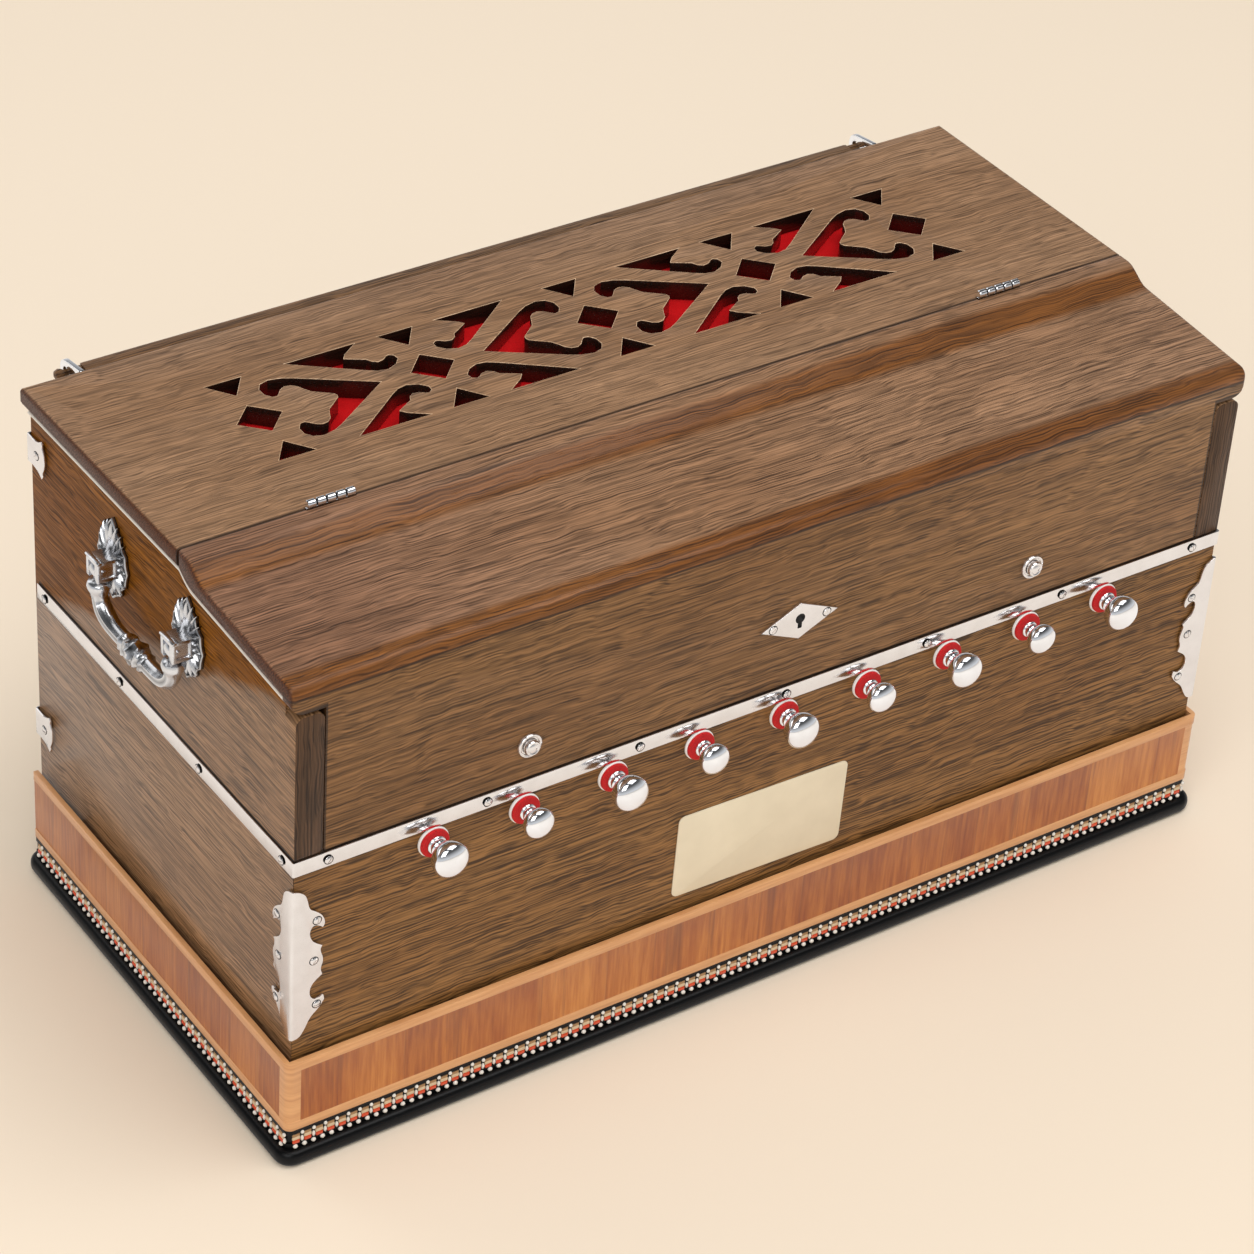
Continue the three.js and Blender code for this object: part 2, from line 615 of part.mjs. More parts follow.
const fretHoles = [];
{
  const x0 = FRET_MID_X - FRET_CELLS * fretPitch / 2;
  const place = (points, cell, flipU, flipV) => points.map(([u, v]) => [
    x0 + (cell + (flipU ? 1 - u : u)) * fretPitch,
    fretMidY + (flipV ? -v : v) * fretH,
  ]);
  for (let k = 0; k <= FRET_CELLS; k += 1) {
    const x = x0 + k * fretPitch;
    const [dx, dy] = [DIAMOND_SHARES[0] * fretPitch, DIAMOND_SHARES[1] * fretH];
    fretHoles.push([[x - dx, fretMidY], [x, fretMidY - dy], [x + dx, fretMidY], [x, fretMidY + dy]]);
    const [tx, ty] = [TRIANGLE_SHARES[0] * fretPitch, TRIANGLE_SHARES[1] * fretH];
    for (const side of [-1, 1]) {
      const y = fretMidY + side * fretH / 2;
      fretHoles.push([[x - tx, y], [x + tx, y], [x, y - side * ty]]);
    }
  }
  for (let cell = 0; cell < FRET_CELLS; cell += 1) {
    const flip = cell % 2 === 0;
    fretHoles.push(place(wing, cell, flip, false));
    fretHoles.push(place(wing, cell, flip, true));
    fretHoles.push(place(fan, cell, flip, false));
  }
}

// Butt hinges between lid and cover: five knuckles on a pin above the joint.
const HINGE_INSET = 86; // middle of a hinge from the case side
const HINGE_L = 29;
const KNUCKLES = 5;
const KNUCKLE_R = 2.3;
const KNUCKLE_LIFT = 2.6; // pin axis above the top surface
const HINGE_PIN_R = 0.9;
const LEAF_T = 0.9;
const LEAF_H = 9;
const KNUCKLE_GAP = 0.3;

const hingeX = CASE_W / 2 - HINGE_INSET;
const hingeAxisY = JOINT_Y - JOINT_GAP / 2;
const hingeAxisZ = TOP_Z + KNUCKLE_LIFT;
const leafBottomZ = TOP_Z - LEAF_H;

// Room for a leaf in the edge of the lid (side = 1) or of the cover (side = -1).
function mortise(x, side) {
  const edge = hingeAxisY + side * JOINT_GAP / 2;
  const deep = edge + side * (LEAF_T + SEAT);
  const past = edge - side * OVERRUN;
  return block(
    [x - HINGE_L / 2 - SEAT, x + HINGE_L / 2 + SEAT],
    [Math.min(deep, past), Math.max(deep, past)],
    [leafBottomZ - SEAT, TOP_Z + OVERRUN]);
}

{
  const lidX = caseHalf + LID_OVERHANG;
  const board = prismZ(outline([
    [-lidX, JOINT_Y - LID_EDGE_R * 2], [lidX, JOINT_Y - LID_EDGE_R * 2],
    [lidX, CASE_D + LID_REAR_OVERHANG], [-lidX, CASE_D + LID_REAR_OVERHANG],
  ]), lidUnderZ, TOP_Z, LID_EDGE_R);
  const frontCut = block([-lidX - OVERRUN, lidX + OVERRUN], [0, JOINT_Y], [0, TOP_Z + OVERRUN]);
  const openings = fretHoles.map((h) => prismZ(outline(h), lidUnderZ - OVERRUN, TOP_Z + OVERRUN));
  add('fret_top', cut(board, frontCut, mortise(-hingeX, 1), mortise(hingeX, 1), ...openings), WALNUT);

  const clothX = FRET_CELLS * fretPitch / 2 + DIAMOND_SHARES[0] * fretPitch + CLOTH_MARGIN;
  const clothY = fretH / 2 + CLOTH_MARGIN;
  add('grille_cloth', block(
    [FRET_MID_X - clothX, FRET_MID_X + clothX], [fretMidY - clothY, fretMidY + clothY],
    [lidUnderZ - SEAT - CLOTH_T, lidUnderZ - SEAT]), RED_CLOTH);
}

function hingeLeaf(x, side) {
  const pitch = HINGE_L / KNUCKLES;
  const mine = (k) => (k % 2 === 0) === (side > 0);
  const [ya, yb] = [hingeAxisY + side * (JOINT_GAP / 2), hingeAxisY + side * (JOINT_GAP / 2 + LEAF_T)];
  let leaf = block([x - HINGE_L / 2, x + HINGE_L / 2], [Math.min(ya, yb), Math.max(ya, yb)],
    [leafBottomZ, hingeAxisZ]);
  const parts = [];
  for (let k = 0; k < KNUCKLES; k += 1) {
    const [a, b] = [x - HINGE_L / 2 + k * pitch, x - HINGE_L / 2 + (k + 1) * pitch];
    if (mine(k)) {
      parts.push(rod(KNUCKLE_R, a + KNUCKLE_GAP / 2, b - KNUCKLE_GAP / 2, 'x', [0, hingeAxisY, hingeAxisZ],
        TURNED_SIDES_COUNT));
    } else {
      leaf = cut(leaf, rod(KNUCKLE_R + SEAT, a - KNUCKLE_GAP / 2, b + KNUCKLE_GAP / 2, 'x',
        [0, hingeAxisY, hingeAxisZ], TURNED_SIDES_COUNT));
    }
  }
  const body = union(leaf, ...parts);
  const bore = rod(HINGE_PIN_R + SEAT, x - HINGE_L, x + HINGE_L, 'x',
    [0, hingeAxisY, hingeAxisZ], PIN_SIDES_COUNT);
  const pin = rod(HINGE_PIN_R, x - HINGE_L / 2 + FUSE, x + HINGE_L / 2 - FUSE, 'x',
    [0, hingeAxisY, hingeAxisZ], PIN_SIDES_COUNT);
  return side > 0 ? union(body, pin) : cut(body, bore);
}

for (const [tag, x] of [['left', -hingeX], ['right', hingeX]]) {
  add(`hinge_leaf_fixed_${tag}`, hingeLeaf(x, 1), CHROME);
  add(`hinge_leaf_moving_${tag}`, hingeLeaf(x, -1), CHROME);
}

// Front cover

const ESCUTCHEON_W = 50;
const ESCUTCHEON_H = 23;
const ESCUTCHEON_T = 1;
const ESCUTCHEON_X = 4;
const ESCUTCHEON_SHARE = 0.4635; // its height on the drop panel, from the panel's foot
const ESCUTCHEON_SCREW_SHARE = 0.66; // screws along its half width
const KEYHOLE_R = 1.9;
const KEYHOLE_SLOT_W = 1.8;
const KEYHOLE_SLOT_H = 5;
const LOCK_W = 46;
const LOCK_SHARE = 0.4; // lock height as a share of the panel's
const LOCK_T = 8;
const LOCK_BOLT_W = 12;
const LOCK_BOLT_H = 5;
const COVER_STUD_INSET = 138; // from the case sides
const COVER_STUD_SHARE = 0.242; // height on the drop panel, from the panel's foot
const COVER_STUD_R = 7.2;
const COVER_STUD_CAP_R = 4.8;
const COVER_STUD_T = 2;
const COVER_STUD_CAP_T = 3;
const SCREW_R = 2.2;
const SCREW_H = 0.7;
const panelH = EAR_BOTTOM_Z - FRONT_TOP_Z;
const escutcheonZ = FRONT_TOP_Z + ESCUTCHEON_SHARE * panelH;
const lockH = LOCK_SHARE * panelH;
const studX = CASE_W / 2 - COVER_STUD_INSET;
const studZ = FRONT_TOP_Z + COVER_STUD_SHARE * panelH;
const screwProfile = [[0, -FUSE], [SCREW_R, -FUSE], [SCREW_R, 0], [0.6 * SCREW_R, SCREW_H], [0, SCREW_H]];

const keyhole = (y0, y1) => union(
  rod(KEYHOLE_R, y0, y1, 'y', [ESCUTCHEON_X, 0, escutcheonZ], TURNED_SIDES_COUNT),
  block([ESCUTCHEON_X - KEYHOLE_SLOT_W / 2, ESCUTCHEON_X + KEYHOLE_SLOT_W / 2], [y0, y1],
    [escutcheonZ - KEYHOLE_SLOT_H, escutcheonZ]));

{
  const lidX = caseHalf + LID_OVERHANG;
  const lid = prismX(coverProfile, -lidX, lidX, LID_EDGE_R);
  const ears = cornerTool(lidX, EAR_BOTTOM_Z, EAR_CORNER_R, 1, -1, [-OVERRUN, PANEL_T + SEAT]);
  const rearCut = block([-lidX - OVERRUN, lidX + OVERRUN], [coverRearY, coverRearY + OVERRUN],
    [lidUnderZ - OVERRUN, TOP_Z + OVERRUN]);
  const panelX = sideInX - PANEL_PLAY;
  const panel = block([-panelX, panelX], [0, PANEL_T], [FRONT_TOP_Z + 2 * SEAT, EAR_BOTTOM_Z + FUSE]);
  add('front_cover', cut(
    union(lid, panel), ears, mirrorX(ears), rearCut,
    mortise(-hingeX, -1), mortise(hingeX, -1), keyhole(-OVERRUN, PANEL_T + OVERRUN),
  ), WALNUT);

  const [w, h] = [ESCUTCHEON_W / 2, ESCUTCHEON_H / 2];
  const rhomb = outline([
    [ESCUTCHEON_X - w, escutcheonZ], [ESCUTCHEON_X, escutcheonZ - h],
    [ESCUTCHEON_X + w, escutcheonZ], [ESCUTCHEON_X, escutcheonZ + h],
  ]);
  const plateY = -SEAT / 2;
  const screws = [-1, 1].map((s) => turned(screwProfile, '-y',
    [ESCUTCHEON_X + s * w * ESCUTCHEON_SCREW_SHARE, plateY - ESCUTCHEON_T, escutcheonZ], SCREW_SIDES_COUNT));
  add('lock_escutcheon', cut(
    union(prismY(rhomb, plateY - ESCUTCHEON_T, plateY), ...screws), keyhole(-OVERRUN, OVERRUN)), NICKEL);

  const lockY = PANEL_T + SEAT / 2;
  add('cover_lock', union(
    block([ESCUTCHEON_X - LOCK_W / 2, ESCUTCHEON_X + LOCK_W / 2], [lockY, lockY + LOCK_T],
      [escutcheonZ - lockH / 2, escutcheonZ + lockH / 2]),
    block([ESCUTCHEON_X - LOCK_BOLT_W / 2, ESCUTCHEON_X + LOCK_BOLT_W / 2],
      [lockY + LOCK_T / 4, lockY + LOCK_T * 0.75],
      [escutcheonZ - lockH / 2 - LOCK_BOLT_H, escutcheonZ - lockH / 2 + FUSE]),
  ), NICKEL);

  for (const [tag, s] of [['left', -1], ['right', 1]]) {
    add(`cover_stud_${tag}`, turned([
      [0, 0], [COVER_STUD_R, 0], [COVER_STUD_R, COVER_STUD_T * 0.7], [COVER_STUD_R * 0.88, COVER_STUD_T],
      [COVER_STUD_CAP_R, COVER_STUD_T], [COVER_STUD_CAP_R, COVER_STUD_T + COVER_STUD_CAP_T * 0.8],
      [COVER_STUD_CAP_R * 0.8, COVER_STUD_T + COVER_STUD_CAP_T], [0, COVER_STUD_T + COVER_STUD_CAP_T],
    ], '-y', [s * studX, -SEAT / 2, studZ]), CHROME);
  }
}

// Nickel band and corner brackets

const BAND_SIDE_SCREWS = 4;
const BAND_FRONT_SCREWS = 7;
const BAND_SCREW_INSET = 9.5;
const skinGap = SEAT / 2;
const skinOut = skinGap + BAND_T; // outer face of band and brackets, from the case

const frontScrew = (x, z) => turned(screwProfile, '-y', [x, -skinOut, z], SCREW_SIDES_COUNT);
const sideScrew = (y, z) => mirrorX(
  turned(screwProfile, 'x', [caseHalf + skinOut, y, z], SCREW_SIDES_COUNT));

{
  const bandZ = FRONT_TOP_Z - SEAT - BAND_H;
  const bandRearY = CASE_D - BAND_REAR_SETBACK;
  const midZ = bandZ + BAND_H / 2;
  const sidePitch = (bandRearY - 2 * BAND_SCREW_INSET) / (BAND_SIDE_SCREWS - 1);
  const frontPitch = (CASE_W - 4 * BAND_SCREW_INSET) / (BAND_FRONT_SCREWS - 1);
  const sides = Array.from({ length: BAND_SIDE_SCREWS }, (_, i) =>
    sideScrew(BAND_SCREW_INSET + i * sidePitch, midZ));
  const fronts = Array.from({ length: BAND_FRONT_SCREWS }, (_, i) =>
    frontScrew((i - (BAND_FRONT_SCREWS - 1) / 2) * frontPitch, midZ));
  add('nickel_band', union(
    prismZ(wrap(skinOut, BAND_T, bandRearY, BAND_T), bandZ, bandZ + BAND_H),
    ...sides, ...sides.map(mirrorX), ...fronts), NICKEL);
}

const BRACKET_DROP = 18.6; // its head below the top of the lower front board
const BRACKET_H = 99;
const BRACKET_LEAF = 19.2;
const REAR_BRACKET_H = 24;
const REAR_BRACKET_LEAF = 19;
const REAR_LOWER_Z = 91;
const REAR_UPPER_DROP = 23.1; // its head below the lid's top

// Free edge of a front bracket's leaf as shares of leaf width and height, foot to head.
const LEAF_SHARES = [
  [0, 0], [0.24, 0.005], [0.42, 0.06], [0.56, 0.12], [0.86, 0.17], [1, 0.214], [0.97, 0.255],
  [0.84, 0.236], [0.64, 0.238], [0.52, 0.286], [0.6, 0.345], [0.93, 0.39], [0.86, 0.43], [0.97, 0.486],
  [0.84, 0.56], [0.92, 0.585], [0.6, 0.63], [0.5, 0.695], [0.62, 0.74], [0.84, 0.72], [0.92, 0.7],
  [1, 0.735], [0.9, 0.79], [0.68, 0.83], [0.5, 0.855], [0.44, 0.92], [0.36, 0.965], [0.1, 1], [0, 1],
];
const LEAF_SCREW_SHARES = [[0.8, 0.2], [0.7, 0.5], [0.78, 0.765]];
const FISHTAIL_SHARES = [
  [0, 0.14], [0.3, 0.16], [0.6, 0.12], [0.84, 0], [0.9, 0.08], [0.88, 0.16], [1, 0.35],
  [1, 0.65], [0.88, 0.84], [0.9, 0.92], [0.84, 1], [0.6, 0.88], [0.3, 0.84], [0, 0.86],
];
const FISHTAIL_SCREW_SHARES = [[0.6, 0.5]];

// A bent plate round the left front corner (or, with rear set, the left rear one).
function bracket(leafShares, screwShares, leaf, height, z0, rear) {
  const cornerX = -caseHalf - skinOut;
  const cornerY = rear ? CASE_D + skinOut : -skinOut;
  const away = rear ? -1 : 1;
  const onX = leafShares.map(([u, v]) => [cornerX + u * leaf, z0 + v * height]);
  const onY = leafShares.map(([u, v]) => [cornerY + away * u * leaf, z0 + v * height]);
  const flat = rear
    ? prismY(outline(onX), CASE_D + skinGap, CASE_D + skinOut)
    : prismY(outline(onX), -skinOut, -skinGap);
  const sideLeaf = prismX(outline(onY), -caseHalf - skinOut, -caseHalf - skinGap);
  const heads = screwShares.flatMap(([u, v]) => [
    rear
      ? turned(screwProfile, 'y', [cornerX + u * leaf, cornerY, z0 + v * height], SCREW_SIDES_COUNT)
      : frontScrew(cornerX + u * leaf, z0 + v * height),
    sideScrew(cornerY + away * u * leaf, z0 + v * height),
  ]);
  return union(flat, sideLeaf, ...heads);
}

{
  const frontZ = FRONT_TOP_Z - BRACKET_DROP - BRACKET_H;
  const upperZ = TOP_Z - REAR_UPPER_DROP - REAR_BRACKET_H;
  const front = bracket(LEAF_SHARES, LEAF_SCREW_SHARES, BRACKET_LEAF, BRACKET_H, frontZ, false);
  const rearAt = (z) => bracket(
    FISHTAIL_SHARES, FISHTAIL_SCREW_SHARES, REAR_BRACKET_LEAF, REAR_BRACKET_H, z, true);
  for (const [name, body] of [
    ['front_bracket', front], ['rear_lower_bracket', rearAt(REAR_LOWER_Z)],
    ['rear_upper_bracket', rearAt(upperZ)],
  ]) {
    add(`${name}_left`, body, NICKEL);
    add(`${name}_right`, mirrorX(body), NICKEL);
  }
}

// Drop handles

const HANDLE_SHIFT = 3; // middle of the handle behind the middle of the case
const HANDLE_SPACING = 80; // between the two mounts
const HANDLE_DROP = 50.6; // pivot axis below the lid's top
const HANDLE_OUT = 11.4; // pivot axis from the case side
const ROSETTE_W = 33;
const ROSETTE_H = 51;
const ROSETTE_T = 3.2;
const ROSETTE_RELIEF = 1.8;
const INNER_LEAF_SHARE = 0.66; // size of the raised inner leaf
const ROSETTE_BACK = 3; // its middle behind the post's
const ROSETTE_RISE = 1.2; // and above the pivot
const POST_W = 13;
const POST_OUT = 15.6;
const POST_TOP = 7.2; // above the pivot
const POST_FOOT = 5.6; // below the pivot
const POST_ROOF = 2;
const EYE_R = 4.7;
const EYE_W = 6.4;
const EYE_PIN_R = 1.5;
const BAIL_R = 4.3;
const BAIL_DROP = 28.5;
const COLLAR_R = 6.8;
const COLLAR_L = 20;

const handleY = CASE_D / 2 + HANDLE_SHIFT;
const handleZ = TOP_Z - HANDLE_DROP;

// Outline of a rosette as shares of its half width and its height.
const ROSETTE_SHARES = [
  [0, 1], [0.22, 0.93], [0.3, 0.86], [0.52, 0.82], [0.62, 0.72], [0.86, 0.66], [0.9, 0.56], [1, 0.48],
  [0.9, 0.38], [0.84, 0.28], [0.62, 0.22], [0.52, 0.12], [0.3, 0.08], [0, 0],
];

function handleMount(y) {
  const face = -caseHalf - skinGap;
  const rosette = (size, x0, x1) => {
    const at = (u, v) => [
      y + ROSETTE_BACK + u * size * ROSETTE_W / 2,
      handleZ + ROSETTE_RISE + (v - 0.5) * size * ROSETTE_H,
    ];
    const right = ROSETTE_SHARES.map(([u, v]) => at(u, v));
    const left = ROSETTE_SHARES.slice(1, -1).reverse().map(([u, v]) => at(-u, v));
    return prismX(outline([...right, ...left]), x0, x1);
  };
  const pivotX = -caseHalf - HANDLE_OUT;
  const post = cut(
    block([-caseHalf - POST_OUT, face], [y - POST_W / 2, y + POST_W / 2],
      [handleZ - POST_FOOT, handleZ + POST_TOP]),
    block([-caseHalf - POST_OUT - OVERRUN, pivotX + EYE_R + SEAT],
      [y - EYE_W / 2 - SEAT, y + EYE_W / 2 + SEAT],
      [handleZ - POST_FOOT - OVERRUN, handleZ + POST_TOP - POST_ROOF]),
  );
  return union(
    rosette(1, face - ROSETTE_T, face),
    rosette(INNER_LEAF_SHARE, face - ROSETTE_T - ROSETTE_RELIEF, face - FUSE),
    post,
    rod(EYE_PIN_R, y - POST_W / 2 + FUSE, y + POST_W / 2 - FUSE, 'y', [pivotX, 0, handleZ],
      PIN_SIDES_COUNT),
  );
}

// The bail: a bar with a turned grip, its two ends flattened to eyes inside the posts.
function handleBail() {
  const x = -caseHalf - HANDLE_OUT;
  const half = HANDLE_SPACING / 2;
  const at = (share, down) => new THREE.Vector3(x, handleY + share * half, handleZ - down);
  const leg = [[1, 0.5 * EYE_R], [1, 0.34 * BAIL_DROP], [0.9, 0.76 * BAIL_DROP], [0.6, 0.97 * BAIL_DROP]];
  const run = new THREE.CatmullRomCurve3([
    ...leg.map(([share, down]) => at(-share, down)),
    at(0, BAIL_DROP),
    ...leg.slice().reverse().map(([share, down]) => at(share, down)),
  ]);
  const ring = new THREE.Shape();
  ring.absarc(0, 0, BAIL_R, 0, 2 * Math.PI, false);
  const bar = solid(new THREE.ExtrudeGeometry(ring, { steps: 16, curveSegments: 4, extrudePath: run }));
  const ends = [-1, 1].map((s) => handleY + s * half);
  const clearR = Math.hypot(POST_OUT - HANDLE_OUT, POST_FOOT) + 2 * SEAT;
  const cheeks = ends.flatMap((y) => [-1, 1].map((s) => {
    const [t0, t1] = [s * EYE_W / 2, s * POST_W];
    return rod(clearR, Math.min(t0, t1), Math.max(t0, t1), 'y', [x, y, handleZ]);
  }));
  const eyes = ends.map((y) => rod(EYE_R, -EYE_W / 2, EYE_W / 2, 'y', [x, y, handleZ], TURNED_SIDES_COUNT));
  const bores = ends.map((y) => rod(
    EYE_PIN_R + SEAT, -POST_W, POST_W, 'y', [x, y, handleZ], PIN_SIDES_COUNT));
  const [r, l] = [COLLAR_R, COLLAR_L / 2];
  const grip = turned([
    [0, -l], [0.76 * r, -0.94 * l], [0.84 * r, -0.8 * l], [0.67 * r, -0.58 * l], [r, 0],
    [0.67 * r, 0.58 * l], [0.84 * r, 0.8 * l], [0.76 * r, 0.94 * l], [0, l],
  ], 'y', [x, handleY, handleZ - BAIL_DROP], PIN_SIDES_COUNT);
  return cut(union(cut(bar, ...cheeks), ...eyes, grip), ...bores);
}

{
  const bail = handleBail();
  for (const [tag, place] of [['left', (b) => b], ['right', mirrorX]]) {
    add(`handle_mount_${tag}_front`, place(handleMount(handleY - HANDLE_SPACING / 2)), CAST_SILVER);
    add(`handle_mount_${tag}_rear`, place(handleMount(handleY + HANDLE_SPACING / 2)), CAST_SILVER);
    add(`handle_bail_${tag}`, place(bail), CAST_SILVER);
  }
}

// Keyboard

const NATURALS_COUNT = 25; // C to F, three and a half octaves with the sharps
const CHEEK_T = 4.25; // cheek blocks at the ends of the keyboard
const KEY_GAP = 0.9;
const SHARP_W = 11;
const KEY_FRONT_CLEAR = 1; // behind the lock
const SHARP_SETBACK = 50; // front of a sharp behind the front of a natural
const KEY_REAR_GAP = 51.5; // keys' rear end to the back board
const KEY_LIFT = 3.4; // underside above the front board's top
const NATURAL_H = 13.5;
const SHARP_H = 23;
const SHARP_BEVEL = 5;
const BELOW_COUNT = 7; // naturals below the octave that plays
const PLAYING_COUNT = 7;
const RAIL_D = 14;
const RAIL_INSET = 2;
const GUIDE_RAIL_SETBACK = 5; // behind the keys' front
const GUIDE_RAIL_D = 10;
const GUIDE_RAIL_H = 1.2;
const REED_BOARD_T = 7;
const REED_BOARD_DROP = 6.1; // its top below the front board's top
const REED_BANK_T = 4;
const REED_BANK_SETBACK = 57; // behind the keys' front
const REED_BANK_L = 44;
const PALLET_SLOT_INSET = 62; // before the keys' rear end
const PALLET_SLOT_L = 34;
const PALLET_SLOT_W = 6;
const CHEEK_H = 20;
const NAME_BOARD_SETBACK = 3.2; // behind the lid's joint
const NAME_BOARD_T = 8;
const NAME_BOARD_CLEAR = 4; // above the sharps

const keysX = sideInX - CHEEK_T;
const naturalPitch = 2 * keysX / NATURALS_COUNT;
const keyFrontY = PANEL_T + LOCK_T + KEY_FRONT_CLEAR;
const sharpFrontY = keyFrontY + SHARP_SETBACK;
const keyRearY = CASE_D - BOARD_T - KEY_REAR_GAP;
const keyZ = FRONT_TOP_Z + KEY_LIFT;
const reedTopZ = FRONT_TOP_Z - REED_BOARD_DROP;
const nameBoardY = JOINT_Y + NAME_BOARD_SETBACK;
const naturalNames = ['c', 'd', 'e', 'f', 'g', 'a', 'b'];
const sharpAfter = (i) => ![2, 6].includes(i % 7) && i < NATURALS_COUNT - 1;
const boundaryX = (i) => -keysX + (i + 1) * naturalPitch;
const innerHalf = sideInX - SEAT;

function naturalKey(i) {
  const [x0, x1] = [boundaryX(i - 1) + KEY_GAP / 2, boundaryX(i) - KEY_GAP / 2];
  const tail = SHARP_W / 2 + KEY_GAP;
  const [a, b] = [
    i > 0 && sharpAfter(i - 1) ? boundaryX(i - 1) + tail : x0,
    sharpAfter(i) ? boundaryX(i) - tail : x1,
  ];
  const cutY = sharpFrontY - KEY_GAP;
  return prismZ(outline([
    [x0, keyFrontY], [x1, keyFrontY], [x1, cutY], ...(b < x1 ? [[b, cutY]] : []),
    [b, keyRearY], [a, keyRearY], ...(a > x0 ? [[a, cutY]] : []), [x0, cutY],
  ]), keyZ, keyZ + NATURAL_H);
}

function sharpKey(i) {
  const x = boundaryX(i);
  return prismX(outline([
    [sharpFrontY, keyZ], [keyRearY, keyZ], [keyRearY, keyZ + NATURAL_H],
    [nameBoardY + NAME_BOARD_T, keyZ + NATURAL_H], [nameBoardY, keyZ + SHARP_H],
    [sharpFrontY + SHARP_BEVEL, keyZ + SHARP_H], [sharpFrontY, keyZ + NATURAL_H],
  ]), x - SHARP_W / 2, x + SHARP_W / 2);
}

{
  const railTopZ = keyZ - SEAT;
  const railY = [keyRearY - RAIL_D + RAIL_INSET, keyRearY + RAIL_INSET];
  const bottomZ = reedTopZ + SEAT;
  const guideY = keyFrontY + GUIDE_RAIL_SETBACK;
  const cheek = block([keysX + KEY_GAP / 2, innerHalf], [keyFrontY, railY[1]], [bottomZ, bottomZ + CHEEK_H]);
  const frame = [
    block([-innerHalf, innerHalf], railY, [bottomZ, railTopZ]),
    block([-innerHalf, innerHalf], [guideY, guideY + GUIDE_RAIL_D], [bottomZ, bottomZ + GUIDE_RAIL_H]),
    cheek, mirrorX(cheek),
  ];
  // The keys outside the playing octave stand on the rail itself.
  const bed = (from, to) => block([from, to], [railY[0] + RAIL_INSET, keyRearY - RAIL_INSET],
    [railTopZ - FUSE, keyZ + FUSE]);
  const [playFrom, playTo] = [boundaryX(BELOW_COUNT - 1), boundaryX(BELOW_COUNT + PLAYING_COUNT - 1)];
  frame.push(
    bed(-keysX + KEY_GAP, playFrom - SHARP_W / 2 - KEY_GAP),
    bed(playTo + SHARP_W / 2 + KEY_GAP, keysX - KEY_GAP),
  );
  for (let i = 0; i < NATURALS_COUNT; i += 1) {
    const playing = i >= BELOW_COUNT && i < BELOW_COUNT + PLAYING_COUNT;
    const name = naturalNames[i % 7];
    if (playing) add(`key_${name}`, naturalKey(i), IVORY);
    else frame.push(naturalKey(i));
    if (sharpAfter(i)) {
      if (playing) add(`key_${name}_sharp`, sharpKey(i), EBONY);
      else frame.push(sharpKey(i));
    }
  }
  add('key_frame', union(...frame), PALE_WOOD);

  const reedBottomZ = reedTopZ - REED_BOARD_T;
  const slotY = keyRearY - PALLET_SLOT_INSET;
  const bankY = keyFrontY + REED_BANK_SETBACK;
  const slots = Array.from({ length: PLAYING_COUNT }, (_, i) => {
    const x = boundaryX(BELOW_COUNT + i) - naturalPitch / 2;
    return block([x - PALLET_SLOT_W / 2, x + PALLET_SLOT_W / 2], [slotY, slotY + PALLET_SLOT_L],
      [reedBottomZ - OVERRUN, reedTopZ + OVERRUN]);
  });
  const reeds = block([-keysX, keysX], [bankY, bankY + REED_BANK_L],
    [reedBottomZ - REED_BANK_T, reedBottomZ + FUSE]);
  add('reed_board', cut(union(
    block([-innerHalf, innerHalf], [BOARD_T + SEAT, CASE_D - BOARD_T - SEAT], [reedBottomZ, reedTopZ]),
    reeds), ...slots), PALE_WOOD);

  add('name_board', block([-innerHalf, innerHalf], [nameBoardY, nameBoardY + NAME_BOARD_T],
    [keyZ + SHARP_H + NAME_BOARD_CLEAR, lidUnderZ - SEAT]), DARK_WALNUT);
}

// Reservoir bellows on the floor of the case.
const RESERVOIR_MARGIN = 85.5; // from the side boards
const RESERVOIR_FRONT_MARGIN = 28.5; // from the front and back boards
const RESERVOIR_H = 52;
const RESERVOIR_FOLD_COUNT = 3;
const RESERVOIR_FOLD_DEPTH = 12;
add('reservoir_bellows', pleated(
  [2 * (sideInX - RESERVOIR_MARGIN), CASE_D - 2 * (BOARD_T + RESERVOIR_FRONT_MARGIN)],
  RESERVOIR_H, RESERVOIR_FOLD_COUNT, RESERVOIR_FOLD_DEPTH,
  (a, b, d) => [a, CASE_D / 2 + b, caseBottomZ + d]), BELLOWS_CLOTH);

// The origin goes to the middle of the base.
const box = new THREE.Box3().setFromObject(group);
group.position.set(-(box.min.x + box.max.x) / 2, -(box.min.y + box.max.y) / 2, -box.min.z);
group.updateMatrixWorld(true);

export default group;
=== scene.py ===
# Portable harmonium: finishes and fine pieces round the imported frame.
#
# Metres, +Z up, the player at -Y. Every place is worked out from the frame's own boxes.

import math
import random

import bmesh
import bpy
from mathutils import Matrix, Vector


